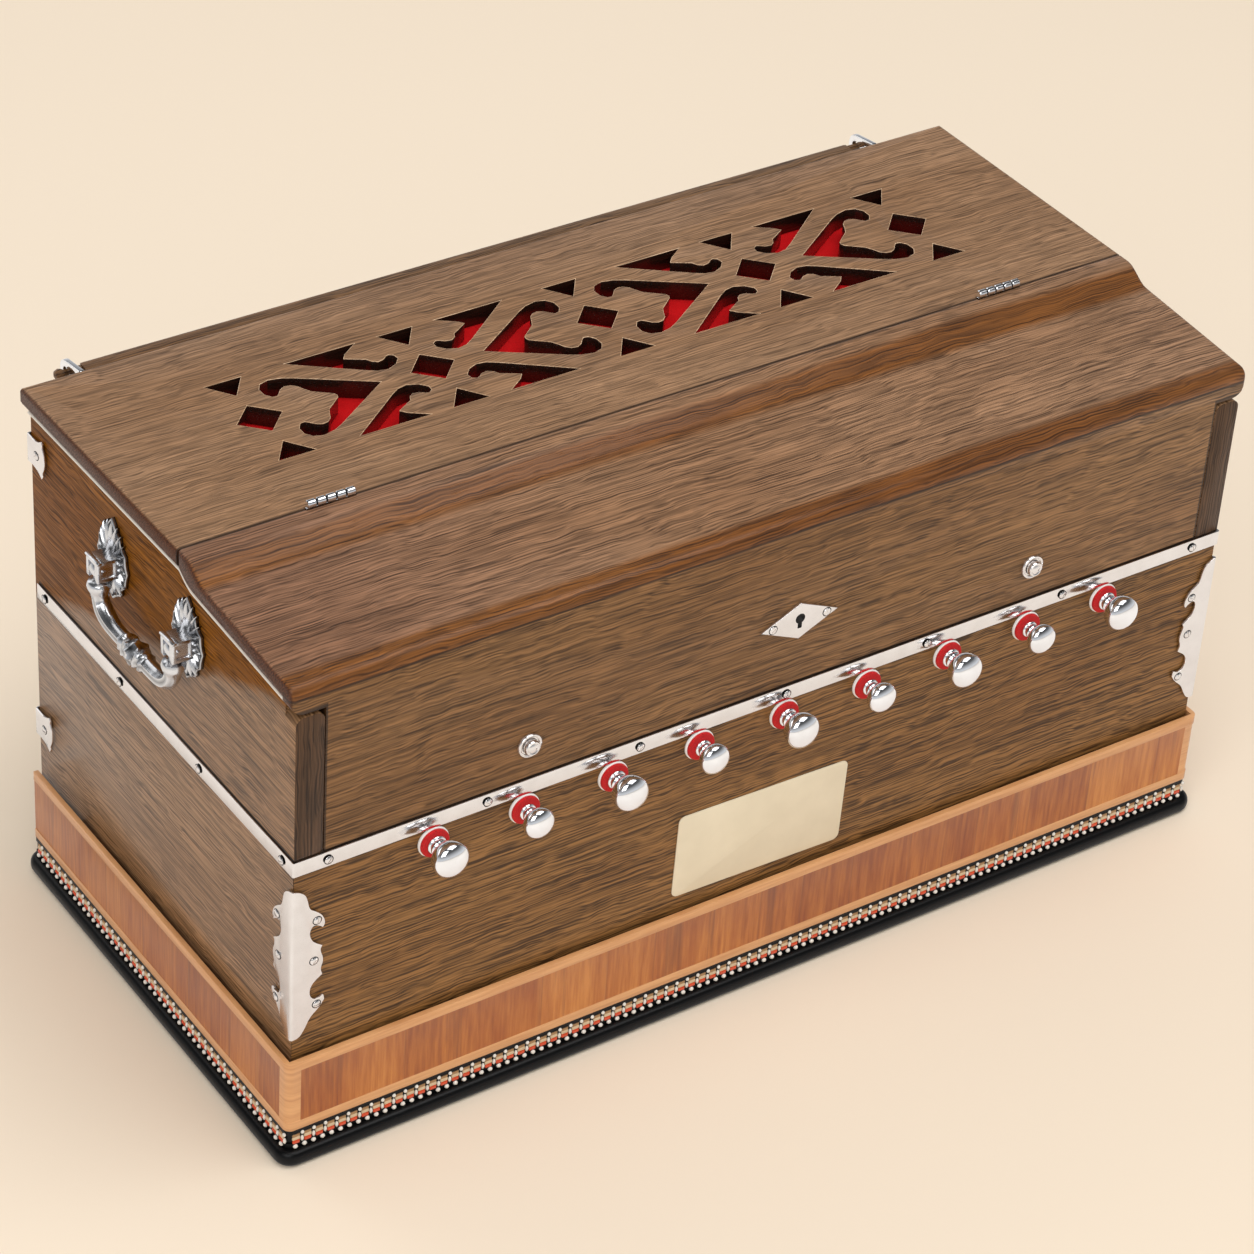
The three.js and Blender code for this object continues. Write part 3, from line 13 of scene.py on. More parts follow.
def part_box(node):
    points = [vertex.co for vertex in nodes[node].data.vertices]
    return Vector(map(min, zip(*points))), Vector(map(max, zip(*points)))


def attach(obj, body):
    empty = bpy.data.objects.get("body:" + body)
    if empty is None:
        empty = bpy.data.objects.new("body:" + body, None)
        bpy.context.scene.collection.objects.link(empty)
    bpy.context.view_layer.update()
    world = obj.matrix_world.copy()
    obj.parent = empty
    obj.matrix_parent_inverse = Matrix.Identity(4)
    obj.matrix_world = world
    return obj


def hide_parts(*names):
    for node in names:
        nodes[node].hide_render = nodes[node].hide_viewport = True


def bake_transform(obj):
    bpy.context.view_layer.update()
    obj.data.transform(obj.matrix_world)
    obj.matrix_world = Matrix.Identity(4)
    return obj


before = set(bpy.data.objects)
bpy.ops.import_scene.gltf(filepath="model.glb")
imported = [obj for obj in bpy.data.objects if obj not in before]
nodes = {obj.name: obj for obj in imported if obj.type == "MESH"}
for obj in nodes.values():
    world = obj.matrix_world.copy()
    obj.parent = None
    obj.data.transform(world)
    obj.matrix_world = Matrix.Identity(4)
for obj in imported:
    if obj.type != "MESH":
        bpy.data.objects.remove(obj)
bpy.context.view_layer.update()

MM = 0.001
RNG = random.Random(7)
SIDES = ("left", "right")
TOWARD = {"left": -1, "right": 1}


# Modelling helpers


def select_only(*pieces):
    if bpy.context.mode != "OBJECT":
        bpy.ops.object.mode_set(mode="OBJECT")
    bpy.ops.object.select_all(action="DESELECT")
    for piece in pieces:
        piece.select_set(True)
    bpy.context.view_layer.objects.active = pieces[0]


def named(name):
    piece = bpy.context.active_object
    piece.name = name
    piece.data.name = name
    return piece


def settle(piece):
    """Puts the piece's place, turn and scale into its mesh."""
    select_only(piece)
    bpy.ops.object.transform_apply(location=True, rotation=True, scale=True)
    return piece


def edit(piece):
    select_only(piece)
    bpy.ops.object.mode_set(mode="EDIT")
    bpy.ops.mesh.select_all(action="DESELECT")


def done(piece):
    bpy.ops.object.mode_set(mode="OBJECT")
    return piece


def select_edges(piece, wanted):
    edit(piece)
    bpy.ops.mesh.select_mode(type="EDGE")
    mesh = bmesh.from_edit_mesh(piece.data)
    for edge in mesh.edges:
        edge.select = wanted(edge)
    mesh.select_flush_mode()
    bmesh.update_edit_mesh(piece.data)


def ease_edges(piece, wanted, radius, steps):
    """Rounds the wanted edges as a file would."""
    select_edges(piece, wanted)
    bpy.ops.mesh.bevel(offset=radius, segments=steps, affect="EDGES")
    return done(piece)


def along(edge, axis):
    run = (edge.verts[1].co - edge.verts[0].co).normalized()
    return abs(run[axis]) > 0.999


def board(name, low, high, edge=0.4 * MM, steps=2, corner=0.0, corner_steps=6, axis=2):
    """A board between two corners, its corners along one axis rounded first, then its edges."""
    low, high = Vector(low), Vector(high)
    bpy.ops.object.select_all(action="DESELECT")
    bpy.ops.mesh.primitive_cube_add(size=1, location=(low + high) / 2)
    piece = named(name)
    piece.scale = high - low
    settle(piece)
    if corner:
        ease_edges(piece, lambda e: along(e, axis), corner, corner_steps)
        ends = (low[axis], high[axis])
        ease_edges(piece, lambda e: any(
            all(abs(v.co[axis] - end) < 1e-6 for v in e.verts) for end in ends), edge, steps)
    else:
        ease_edges(piece, lambda e: True, edge, steps)
    return piece


def turned(name, profile, sides=32):
    """A turned piece along +Z from (radius, height) pairs, closed at both ends."""
    (radius, height), *rest = profile
    bpy.ops.object.select_all(action="DESELECT")
    bpy.ops.mesh.primitive_circle_add(
        vertices=sides, radius=radius, fill_type="NGON", location=(0, 0, height))
    piece = settle(named(name))
    edit(piece)
    bpy.ops.mesh.select_all(action="SELECT")
    for next_radius, next_height in rest:
        bpy.ops.mesh.extrude_region_move(
            TRANSFORM_OT_translate={"value": (0, 0, next_height - height)})
        share = next_radius / radius
        bpy.ops.transform.resize(value=(share, share, 1), center_override=(0, 0, next_height))
        radius, height = next_radius, next_height
    bpy.ops.mesh.select_all(action="SELECT")
    bpy.ops.mesh.normals_make_consistent(inside=False)
    return done(piece)


TURN = {
    "-y": Matrix.Rotation(math.radians(90), 4, "X"),
    "y": Matrix.Rotation(math.radians(-90), 4, "X"),
    "x": Matrix.Rotation(math.radians(90), 4, "Y"),
    "-x": Matrix.Rotation(math.radians(-90), 4, "Y"),
}


def placed(piece, axis, place):
    """Turns a piece made along +Z to an axis and moves it to its place."""
    piece.data.transform(Matrix.Translation(place) @ TURN[axis])
    return piece


def copied(piece, name, matrix=None):
    twin = bpy.data.objects.new(name, piece.data.copy())
    bpy.context.collection.objects.link(twin)
    if matrix is not None:
        twin.data.transform(matrix)
        if matrix.determinant() < 0:
            twin.data.flip_normals()
    return twin


def joined(name, pieces):
    select_only(*pieces)
    bpy.ops.object.join()
    return named(name)


def rounded_outline(points, sharp=(), passes=2):
    """Cuts the corners of an outline again and again, apart from the sharp ones."""
    marked = [(Vector(point), i in sharp) for i, point in enumerate(points)]
    for _ in range(passes):
        cut = []
        for (a, a_sharp), (b, b_sharp) in zip(marked, marked[1:] + marked[:1]):
            if a_sharp:
                cut.append((a, True))
            else:
                cut.append((a.lerp(b, 0.25), False))
            if not b_sharp:
                cut.append((a.lerp(b, 0.75), False))
        marked = cut
    return [point for point, _ in marked]


def sawn(name, outline, thick):
    """A plate sawn to an outline in X and Y, from Z = 0 up to its thickness."""
    bpy.ops.object.select_all(action="DESELECT")
    bpy.ops.mesh.primitive_circle_add(vertices=len(outline), radius=1, fill_type="NGON")
    piece = named(name)
    for vertex, (u, v) in zip(piece.data.vertices, outline):
        vertex.co = (u, v, 0)
    edit(piece)
    bpy.ops.mesh.select_all(action="SELECT")
    bpy.ops.mesh.extrude_region_move(TRANSFORM_OT_translate={"value": (0, 0, thick)})
    bpy.ops.mesh.select_all(action="SELECT")
    bpy.ops.mesh.normals_make_consistent(inside=False)
    return done(piece)


def apply_modifier(piece, kind, **values):
    select_only(piece)
    modifier = piece.modifiers.new(kind.title(), kind)
    for key, value in values.items():
        setattr(modifier, key, value)
    bpy.ops.object.modifier_apply(modifier=modifier.name)
    return piece


def smooth(piece, angle=35):
    select_only(piece)
    bpy.ops.object.shade_smooth_by_angle(angle=math.radians(angle))
    return piece


def swept(name, points, radii, sides=16):
    """A bar along points with its own radius at each."""
    data = bpy.data.curves.new(name, "CURVE")
    data.dimensions = "3D"
    data.bevel_depth = 1.0
    data.bevel_resolution = max(0, sides // 4 - 1)
    data.use_fill_caps = True
    spline = data.splines.new("POLY")
    spline.points.add(len(points) - 1)
    for point, place, radius in zip(spline.points, points, radii):
        point.co = (*place, 1.0)
        point.radius = radius
    piece = bpy.data.objects.new(name, data)
    bpy.context.collection.objects.link(piece)
    select_only(piece)
    bpy.ops.object.convert(target="MESH")
    piece = named(name)
    edit(piece)
    bpy.ops.mesh.select_all(action="SELECT")
    bpy.ops.mesh.remove_doubles(threshold=1e-6)
    bpy.ops.mesh.normals_make_consistent(inside=False)
    return done(piece)


def drilled(piece, tool):
    apply_modifier(piece, "BOOLEAN", operation="DIFFERENCE", object=tool, solver="EXACT")
    bpy.data.objects.remove(tool)
    return piece


def refined(node, name, edge=0.0, steps=2, angle=30):
    """A copy of a CAD node with its points merged and its sharp edges eased."""
    piece = bpy.data.objects.new(name, nodes[node].data.copy())
    bpy.context.collection.objects.link(piece)
    piece.data.materials.clear()
    select_only(piece)
    bpy.ops.mesh.customdata_custom_splitnormals_clear()
    edit(piece)
    bpy.ops.mesh.select_all(action="SELECT")
    bpy.ops.mesh.remove_doubles(threshold=1e-6)
    bpy.ops.mesh.dissolve_limited(angle_limit=math.radians(0.5))
    done(piece)
    if edge:
        apply_modifier(piece, "BEVEL", width=edge, segments=steps, limit_method="ANGLE",
                       angle_limit=math.radians(angle), use_clamp_overlap=True)
    return smooth(piece, angle)


def finished_in(piece, material):
    piece.data.materials.clear()
    piece.data.materials.append(material)
    return piece


def hold(piece, body, material, slot, *replaced):
    """Gives a piece its finish, the body it moves with and the nodes that it stands for.

    A piece that has its finishes already is held with None.
    """
    if material is not None:
        finished_in(piece, material)
    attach(piece, body)
    if replaced:
        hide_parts(*replaced)
    return piece


# Material helpers


def tone(red, green, blue):
    """A colour as seen, 0 to 255, turned to the shader's own scale."""
    def linear(value):
        value /= 255
        return value / 12.92 if value <= 0.04045 else ((value + 0.055) / 1.055) ** 2.4
    return (linear(red), linear(green), linear(blue), 1.0)


class Finish:
    """A material whose nodes are added one after another."""

    def __init__(self, name):
        self.material = bpy.data.materials.new(name)
        self.material.use_nodes = True
        self.tree = self.material.node_tree
        self.shader = self.tree.nodes["Principled BSDF"]
        self.place = self.node("ShaderNodeTexCoord").outputs["Object"]

    def node(self, kind, inputs=None, **values):
        made = self.tree.nodes.new(kind)
        for key, value in values.items():
            setattr(made, key, value)
        for key, value in (inputs or {}).items():
            self.set(made.inputs[key], value)
        return made

    def set(self, socket, value):
        if isinstance(value, bpy.types.NodeSocket):
            self.tree.links.new(value, socket)
        else:
            socket.default_value = value

    def shade(self, **values):
        for key, value in values.items():
            self.set(self.shader.inputs[key.replace("_", " ")], value)

    def math(self, kind, a, b=0.0):
        return self.node("ShaderNodeMath", {0: a, 1: b}, operation=kind).outputs[0]

    def scaled(self, place, scale, move=(0, 0, 0)):
        return self.node("ShaderNodeMapping", {"Vector": place, "Scale": scale, "Location": move}).outputs[0]

    def noise(self, place, scale=1.0, detail=4.0, roughness=0.55):
        return self.node("ShaderNodeTexNoise", {
            "Vector": place, "Scale": scale, "Detail": detail, "Roughness": roughness,
        }).outputs["Fac"]

    def between(self, value, low, high, to_low=0.0, to_high=1.0):
        return self.node("ShaderNodeMapRange", {
            "Value": value, "From Min": low, "From Max": high, "To Min": to_low, "To Max": to_high,
        }).outputs[0]

    def ramp(self, value, stops):
        made = self.node("ShaderNodeValToRGB", {"Fac": value})
        ramp = made.color_ramp
        while len(ramp.elements) < len(stops):
            ramp.elements.new(0.5)
        for element, (position, colour) in zip(ramp.elements, stops):
            element.position = position
            element.color = colour
        return made.outputs["Color"]

    def mix(self, share, a, b, kind="MIX"):
        made = self.node("ShaderNodeMix", data_type="RGBA", blend_type=kind)
        self.set(made.inputs["Factor"], share)
        self.set(made.inputs[6], a)
        self.set(made.inputs[7], b)
        return made.outputs[2]

    def times(self, colour, by):
        return self.mix(1.0, colour, by, "MULTIPLY")

    def parts(self, place):
        return self.node("ShaderNodeSeparateXYZ", {"Vector": place}).outputs

    def bump(self, height, depth):
        made = self.node("ShaderNodeBump", {"Height": height, "Distance": depth, "Strength": 1.0})
        self.set(self.shader.inputs["Normal"], made.outputs["Normal"])


RING_PITCH = 1.8 * MM


def wood(name, mid, grain=0, gloss=0.4, coat=0.2, shine=0.26, pore=1.0, seed=0.0, contrast=1.0,
         tint=None, cover=None):
    """Open-pored wood; mid is its middle tone and grain the axis that it runs along."""
    f = Finish(name)
    place = f.scaled(f.place, (1, 1, 1), (seed, seed * 1.7, seed * 0.6))

    def stretched(where, share):
        return f.scaled(where, [share if i == grain else 1.0 for i in range(3)])

    slow = f.noise(stretched(place, 0.5), 11.0, 1.0)
    quick = f.noise(stretched(place, 0.8), 62.0, 1.0)
    sway = f.math("ADD", f.math("MULTIPLY", slow, 12 * MM), f.math("MULTIPLY", quick, 3.2 * MM))
    shift = f.node("ShaderNodeCombineXYZ", {
        axis: 0.0 if i == grain else sway for i, axis in enumerate("XYZ")}).outputs[0]
    swayed = f.node("ShaderNodeVectorMath", {0: place, 1: shift}, operation="ADD").outputs[0]
    figure = f.noise(stretched(swayed, 0.03), 420.0, 1.0, 0.5)
    line = f.noise(stretched(swayed, 0.02), 1000.0, 0.0, 0.5)
    pores = f.noise(stretched(swayed, 0.045), 1300.0, 1.0, 0.5)
    cloud = f.noise(stretched(swayed, 0.3), 16.0, 2.0, 0.5)
    across = [part for i, part in enumerate(f.parts(swayed)) if i != grain]
    drift = f.noise(stretched(swayed, 0.05), 150.0, 1.0)
    turns = f.math("MULTIPLY", f.math("ADD", *across), 2 * math.pi / RING_PITCH)
    rings = f.math("SINE", f.math("ADD", turns, f.math("MULTIPLY", drift, 10.0)))
    body = f.math("ADD", f.math("MULTIPLY", figure, 0.2), f.math("MULTIPLY", line, 0.8))
    body = f.math("ADD", body, f.math("MULTIPLY", rings, 0.065))
    spread = 0.24 / contrast
    colour = f.ramp(f.between(body, 0.5 - spread, 0.5 + spread), [
        (0.0, tone(*[c * k for c, k in zip(mid, (0.58, 0.54, 0.5))])), (0.5, tone(*mid)),
        (1.0, tone(*[c * k for c, k in zip(mid, (1.26, 1.27, 1.3))]))])
    colour = f.mix(f.between(cloud, 0.36, 0.66), colour, f.times(colour, tone(236, 229, 220)))
    pit = f.between(pores, 0.62, 0.7)
    colour = f.mix(f.math("MULTIPLY", pit, 0.35 * pore), colour, f.times(colour, tone(110, 92, 78)))
    if tint:
        colour = tint(f, colour)
    f.shade(Base_Color=colour, Coat_Weight=cover(f) if cover else coat, Coat_Roughness=0.2,
            Roughness=f.between(body, 0.3, 0.7, gloss + 0.08, gloss - 0.05))
    f.shader.inputs["Specular IOR Level"].default_value = shine
    f.bump(f.math("SUBTRACT", body, pit), 0.07 * MM)
    return f.material


def glossy(name, colour, roughness, wear=0.06, coat=0.0, scale=40.0, shine=0.5):
    """Smooth lacquer, plastic or enamel with faint uneven polish."""
    f = Finish(name)
    cloud = f.noise(f.place, scale, 3.0)
    fine = f.noise(f.place, scale * 12, 2.0)
    worn = f.times(colour, tone(225, 222, 216))
    f.shade(Base_Color=f.mix(f.between(cloud, 0.3, 0.7, 0.0, 0.35), colour, worn),
            Roughness=f.between(fine, 0.3, 0.7, roughness, roughness + wear),
            Coat_Weight=coat, Coat_Roughness=0.08)
    f.shader.inputs["Specular IOR Level"].default_value = shine
    f.bump(fine, 0.006 * MM)
    return f.material


def metal(name, colour, roughness, wear=0.08, dents=0.0, cavity=None, scale=90.0):
    """Plated metal: faint scratches, uneven polish and, when cast, darker hollows."""
    f = Finish(name)
    cloud = f.noise(f.place, scale, 4.0, 0.6)
    scratch = f.noise(f.scaled(f.place, (0.06, 1, 0.5)), scale * 22, 2.0)
    tinted = f.mix(f.between(cloud, 0.35, 0.7), colour, f.times(colour, tone(246, 245, 244)))
    if cavity is not None:
        hollow = f.node("ShaderNodeAttribute", attribute_name="hollow").outputs["Fac"]
        tinted = f.mix(hollow, tinted, cavity)
    f.shade(Base_Color=tinted, Metallic=1.0,
            Roughness=f.between(scratch, 0.3, 0.75, roughness, roughness + wear))
    if dents:
        f.bump(cloud, dents * MM)
    return f.material


def felt(name, colour):
    f = Finish(name)
    fluff = f.noise(f.place, 1500.0, 5.0, 0.7)
    f.shade(Base_Color=f.mix(f.between(fluff, 0.3, 0.7), colour, f.times(colour, tone(205, 195, 195))),
            Roughness=0.85, Sheen_Weight=0.05)
    f.bump(fluff, 0.25 * MM)
    return f.material


def woven(name, colour, pitch=0.7 * MM, depth=0.12 * MM):
    """Plain weave over the object's X and Y."""
    f = Finish(name)
    x, y, _ = f.parts(f.place)
    turn = math.pi / pitch
    warp = f.math("SINE", f.math("MULTIPLY", x, turn))
    weft = f.math("SINE", f.math("MULTIPLY", y, turn))
    over = f.math("ABSOLUTE", f.math("MULTIPLY", warp, weft))
    cloud = f.noise(f.place, 25.0, 3.0)
    shadow = f.times(colour, tone(190, 170, 170))
    f.shade(Base_Color=f.mix(f.math("MULTIPLY", over, f.between(cloud, 0.3, 0.7, 0.5, 1.0)), shadow, colour),
            Roughness=0.9, Sheen_Weight=0.04)
    f.shader.inputs["Specular IOR Level"].default_value = 0.1
    f.bump(over, depth)
    return f.material


# Finishes


lid_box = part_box("fret_top")
cover_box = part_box("front_cover")
plinth_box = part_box("plinth_trim")
band_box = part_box("nickel_band")
band_half = band_box[1].x
side_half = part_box("side_right")[1].x
case_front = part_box("side_left")[0].y
panel_half = max(v.co.x for v in nodes["front_cover"].data.vertices if v.co.z < cover_box[1].z - 40 * MM)


def band_shadow(f, colour):
    """Painted shadow: a dark line along both edges of the nickel band."""
    _, y, z = f.parts(f.place)
    off = f.math("ABSOLUTE", f.math("SUBTRACT", z, (band_box[0].z + band_box[1].z) / 2))
    half = (band_box[1].z - band_box[0].z) / 2
    near = f.between(off, half + 1.5 * MM, half + 0.9 * MM)
    near = f.math("MULTIPLY", near, f.between(y, band_box[1].y + 0.3 * MM, band_box[1].y))
    return f.mix(f.math("MULTIPLY", near, 0.92), colour, tone(24, 15, 9))


def warm_reflection_share(f):
    """From 0 to 1 across the slanting edge of the side boards' upper part, where a warm reflection is painted
    in as a golden tint.
    """
    x, y, z = f.parts(f.place)
    wave = f.noise(f.scaled(f.place, (0, 30, 190)), 1.0, 3.0)
    edge = f.math("ADD", f.math("MULTIPLY", y, 0.37), f.math("MULTIPLY", wave, 16 * MM))
    rise = f.math("ADD", z, edge)
    outside = f.between(f.math("ABSOLUTE", x), side_half - 4 * MM, side_half - 2 * MM)
    return f.math("MULTIPLY", outside, f.between(rise, 245 * MM, 253 * MM))


def side_painted_light(f, colour):
    """The upper part of the sides is tinted golden as a painted warm reflection, the lower part pale and
    cool; the band's painted shadow goes on top.
    """
    # Painted warm reflection: golden tint over the upper part of the sides.
    golden = f.times(colour, tone(230, 188, 78))
    return band_shadow(f, f.mix(warm_reflection_share(f), colour, golden))


def side_cover(f):
    return f.between(warm_reflection_share(f), 0.0, 1.0, 0.5, 0.0)


def lid_tint(f, colour):
    """The lid's edges are darker and redder than its top, and its front edge has a painted shade line at the
    joint with the cover.
    """
    x, y, z = f.parts(f.place)
    end = f.between(f.math("ABSOLUTE", x), lid_box[1].x - 1.6 * MM, lid_box[1].x - 0.4 * MM)
    low = f.between(z, lid_box[1].z - 1.2 * MM, lid_box[1].z - 0.6 * MM, 1.0, 0.0)
    # Painted shade in the joint with the cover, along the lid's front edge.
    seam = f.between(y, lid_box[0].y + 1.0 * MM, lid_box[0].y + 0.6 * MM)
    edged = f.mix(f.math("MAXIMUM", end, low), colour, f.times(colour, tone(150, 108, 70)))
    return f.mix(f.math("MULTIPLY", seam, 0.75), edged, tone(30, 18, 10))


def cover_tint(f, colour):
    """The slope is redder than the drop panel, its ogee and nose golden. The panel is painted lighter toward
    the right and the slope darker toward the left, and the arris, the gaps beside the panel and the joint
    with the lid get painted shade lines.
    """
    x, y, z = f.parts(f.place)
    wave = f.noise(f.scaled(f.place, (9, 60, 60)), 1.0, 2.0)
    depth = f.math("ADD", y, f.math("MULTIPLY", wave, 5 * MM))
    rise = f.math("ADD", z, f.math("MULTIPLY", f.math("SUBTRACT", wave, 0.5), 4 * MM))
    line_z = cover_box[1].z - 21.6 * MM
    top = f.between(rise, line_z - 0.4 * MM, line_z + 0.4 * MM)
    # Painted light falloff: the drop panel is painted brighter toward the right.
    panel = f.mix(f.between(x, 0.0, 0.8 * panel_half), tone(227, 217, 184), tone(246, 240, 212))
    # Painted shade: the slope is painted darker toward the left.
    left_shade_share = f.between(x, -0.3 * panel_half, -0.9 * panel_half)
    slope = f.mix(left_shade_share, tone(255, 255, 255), tone(228, 218, 220))
    base = f.times(colour, f.mix(top, panel, slope))
    nose = f.between(depth, cover_box[0].y + 16 * MM, cover_box[0].y + 12 * MM)
    behind = f.between(depth, lid_box[0].y - 12 * MM, lid_box[0].y - 8 * MM, 1.0, 0.0)
    before = f.between(depth, lid_box[0].y - 28 * MM, lid_box[0].y - 22 * MM)
    ogee = f.math("MULTIPLY", behind, before)
    end = f.between(f.math("ABSOLUTE", x), cover_box[1].x - 1.6 * MM, cover_box[1].x - 0.4 * MM)
    edge = f.math("MULTIPLY", top, f.math("MAXIMUM", nose, ogee))
    golden = f.mix(edge, base, f.times(colour, tone(214, 178, 116)))
    golden = f.mix(end, golden, f.times(colour, tone(150, 108, 70)))
    # Painted shade: dark lines along the arris under the nose, down the gaps beside the drop panel and at the
    # joint with the lid.
    arris_shade = f.between(f.math("ABSOLUTE", f.math("SUBTRACT", rise, line_z)), 1.1 * MM, 0.4 * MM)
    arris_shade = f.math("MULTIPLY", arris_shade, f.between(y, cover_box[0].y + 8 * MM, cover_box[0].y + 6 * MM))
    seam = f.between(y, cover_box[1].y - 1.0 * MM, cover_box[1].y - 0.6 * MM)
    gap_shade = f.between(f.math("ABSOLUTE", x), panel_half - 1.3 * MM, panel_half - 0.8 * MM)
    gap_shade = f.math("MULTIPLY", gap_shade, f.between(z, line_z - 6 * MM, line_z - 7 * MM))
    arris_shade = f.math("MAXIMUM", arris_shade, gap_shade)
    dark = f.math("MAXIMUM", f.math("MULTIPLY", arris_shade, 0.8), f.math("MULTIPLY", seam, 0.75))
    return band_shadow(f, f.mix(dark, golden, tone(34, 20, 11)))


WALNUT_FRONT = wood("walnut_front", (124, 88, 48), 0, gloss=0.45, coat=0.05, contrast=1.25,
                    tint=band_shadow, seed=1.3)
WALNUT_COVER = wood("walnut_cover", (137, 104, 77), 0, gloss=0.4, coat=0.06, contrast=0.9,
                    tint=cover_tint, seed=4.1)
WALNUT_LID = wood("walnut_lid", (140, 108, 80), 0, gloss=0.45, coat=0.05, contrast=0.7,
                  tint=lid_tint, seed=7.9)
WALNUT_SIDE = wood("walnut_side", (137, 105, 75), 1, gloss=0.36, shine=0.05, contrast=0.9, tint=side_painted_light,
                   cover=side_cover, seed=2.6)
WALNUT_BACK = wood("walnut_back", (108, 80, 54), 0, seed=9.2)
WALNUT_DARK = wood("walnut_dark", (66, 49, 36), 0, seed=5.5)
WALNUT_POST = wood("walnut_post", (82, 60, 42), 2, shine=0.2, coat=0.05, seed=8.4)
FRET_WALL = wood("fret_wall", (34, 18, 12), 0, gloss=0.26, coat=1.0, seed=3.3)
# Painted highlight: the pale finish on the eased rims of the fretwork openings.
FRET_RIM_HIGHLIGHT = wood("fret_rim_highlight", (214, 184, 152), 0, contrast=0.6, seed=3.9)
PALE_WOOD = wood("pale_wood", (204, 168, 120), 1, gloss=0.55, coat=0.0, pore=0.5, contrast=0.5, seed=6.1)
BLACK_LACQUER = glossy("black_lacquer", tone(7, 7, 8), 0.3, shine=0.2)
NICKEL = metal("nickel_plate", tone(236, 232, 230), 0.13, wear=0.02)
CHROME = metal("chrome_plate", tone(248, 249, 252), 0.05, wear=0.02)
CAST_SILVER = metal("antique_silver", tone(226, 227, 230), 0.14, wear=0.12, dents=0.1,
                    cavity=tone(34, 32, 31), scale=260.0)
RED_FELT = felt("red_felt", tone(222, 14, 22))
WHITE_RING = glossy("white_ring", tone(252, 252, 251), 0.25)
RED_CLOTH = woven("red_cloth", tone(236, 6, 16))
BELLOWS_CLOTH = felt("bellows_cloth", tone(92, 26, 24))
IVORY = glossy("ivory_key", tone(240, 236, 224), 0.16, coat=0.3)
EBONY = glossy("ebony_key", tone(20, 19, 19), 0.2, coat=0.3)
CREAM_ENAMEL = glossy("cream_enamel", tone(238, 226, 200), 0.3)
PEARL = glossy("pearl_bead", tone(238, 234, 226), 0.12, coat=0.6, scale=300.0)
TAN_TILE = glossy("tan_tile", tone(176, 136, 92), 0.35, scale=300.0)
CREAM_TILE = glossy("cream_tile", tone(222, 196, 160), 0.35, scale=300.0)
CORAL_BEAD = glossy("coral_bead", tone(222, 78, 36), 0.25, coat=0.3, scale=300.0)
# Painted highlight: the pale finish of the thin bead under the lid's edge.
LINE_HIGHLIGHT_BEAD = glossy("line_highlight_bead", tone(244, 238, 228), 0.2, coat=0.4)


def plinth_wood():
    """Upright staves of warm veneer between pale edgings, with pale corner strips."""
    edging = 5.8 * MM
    f = Finish("plinth_veneer")
    x, y, z = f.parts(f.place)
    run = f.math("ADD", x, y)
    staves = {"W": run, "Scale": 26.0, "Randomness": 1.0}
    cells = f.node("ShaderNodeTexVoronoi", staves, voronoi_dimensions="1D")
    seam = f.node("ShaderNodeTexVoronoi", staves, voronoi_dimensions="1D",
                  feature="DISTANCE_TO_EDGE").outputs["Distance"]
    stave = f.parts(cells.outputs["Color"])[0]
    grain = f.noise(f.scaled(f.place, (1, 1, 0.07)), 420.0, 5.0, 0.6)
    broad = f.noise(f.scaled(f.place, (1, 1, 0.2)), 60.0, 3.0)
    streak = f.between(f.noise(f.scaled(f.place, (1, 1, 0.04)), 130.0, 3.0, 0.6), 0.6, 0.72)
    body = f.math("ADD", f.math("MULTIPLY", grain, 0.72), f.math("MULTIPLY", stave, 0.28))
    colour = f.ramp(body, [(0.28, tone(150, 78, 28)), (0.5, tone(183, 108, 44)), (0.72, tone(206, 134, 64))])
    colour = f.mix(f.between(broad, 0.4, 0.7), colour, f.times(colour, tone(222, 198, 176)))
    colour = f.mix(f.between(seam, 0.02, 0.0, 0.0, 0.35), colour, tone(120, 66, 34))
    colour = f.mix(f.math("MULTIPLY", streak, 0.55), colour, tone(112, 60, 32))
    pale_grain = f.noise(f.scaled(f.place, (0.06, 0.06, 1)), 500.0, 4.0)
    pale = f.ramp(pale_grain, [(0.3, tone(206, 146, 94)), (0.7, tone(228, 172, 118))])
    low = f.between(z, plinth_box[0].z + edging + 0.1 * MM, plinth_box[0].z + edging - 0.1 * MM)
    high = f.between(z, plinth_box[1].z - edging - 0.1 * MM, plinth_box[1].z - edging + 0.1 * MM)
    corner = 8.5 * MM
    in_x = f.between(f.math("ABSOLUTE", x), plinth_box[1].x - corner - 0.1 * MM,
                     plinth_box[1].x - corner + 0.1 * MM)
    in_y = f.between(y, plinth_box[0].y + corner + 0.1 * MM, plinth_box[0].y + corner - 0.1 * MM)
    strip = f.math("MULTIPLY", in_x, in_y)
    edge = f.math("MAXIMUM", f.math("MAXIMUM", low, high), strip)
    f.shade(Base_Color=f.mix(edge, colour, pale), Roughness=0.4, Coat_Weight=0.25, Coat_Roughness=0.2)
    f.bump(f.math("SUBTRACT", grain, f.between(seam, 0.02, 0.0)), 0.06 * MM)
    return f.material


PLINTH_VENEER = plinth_wood()


# Camera, floor and light


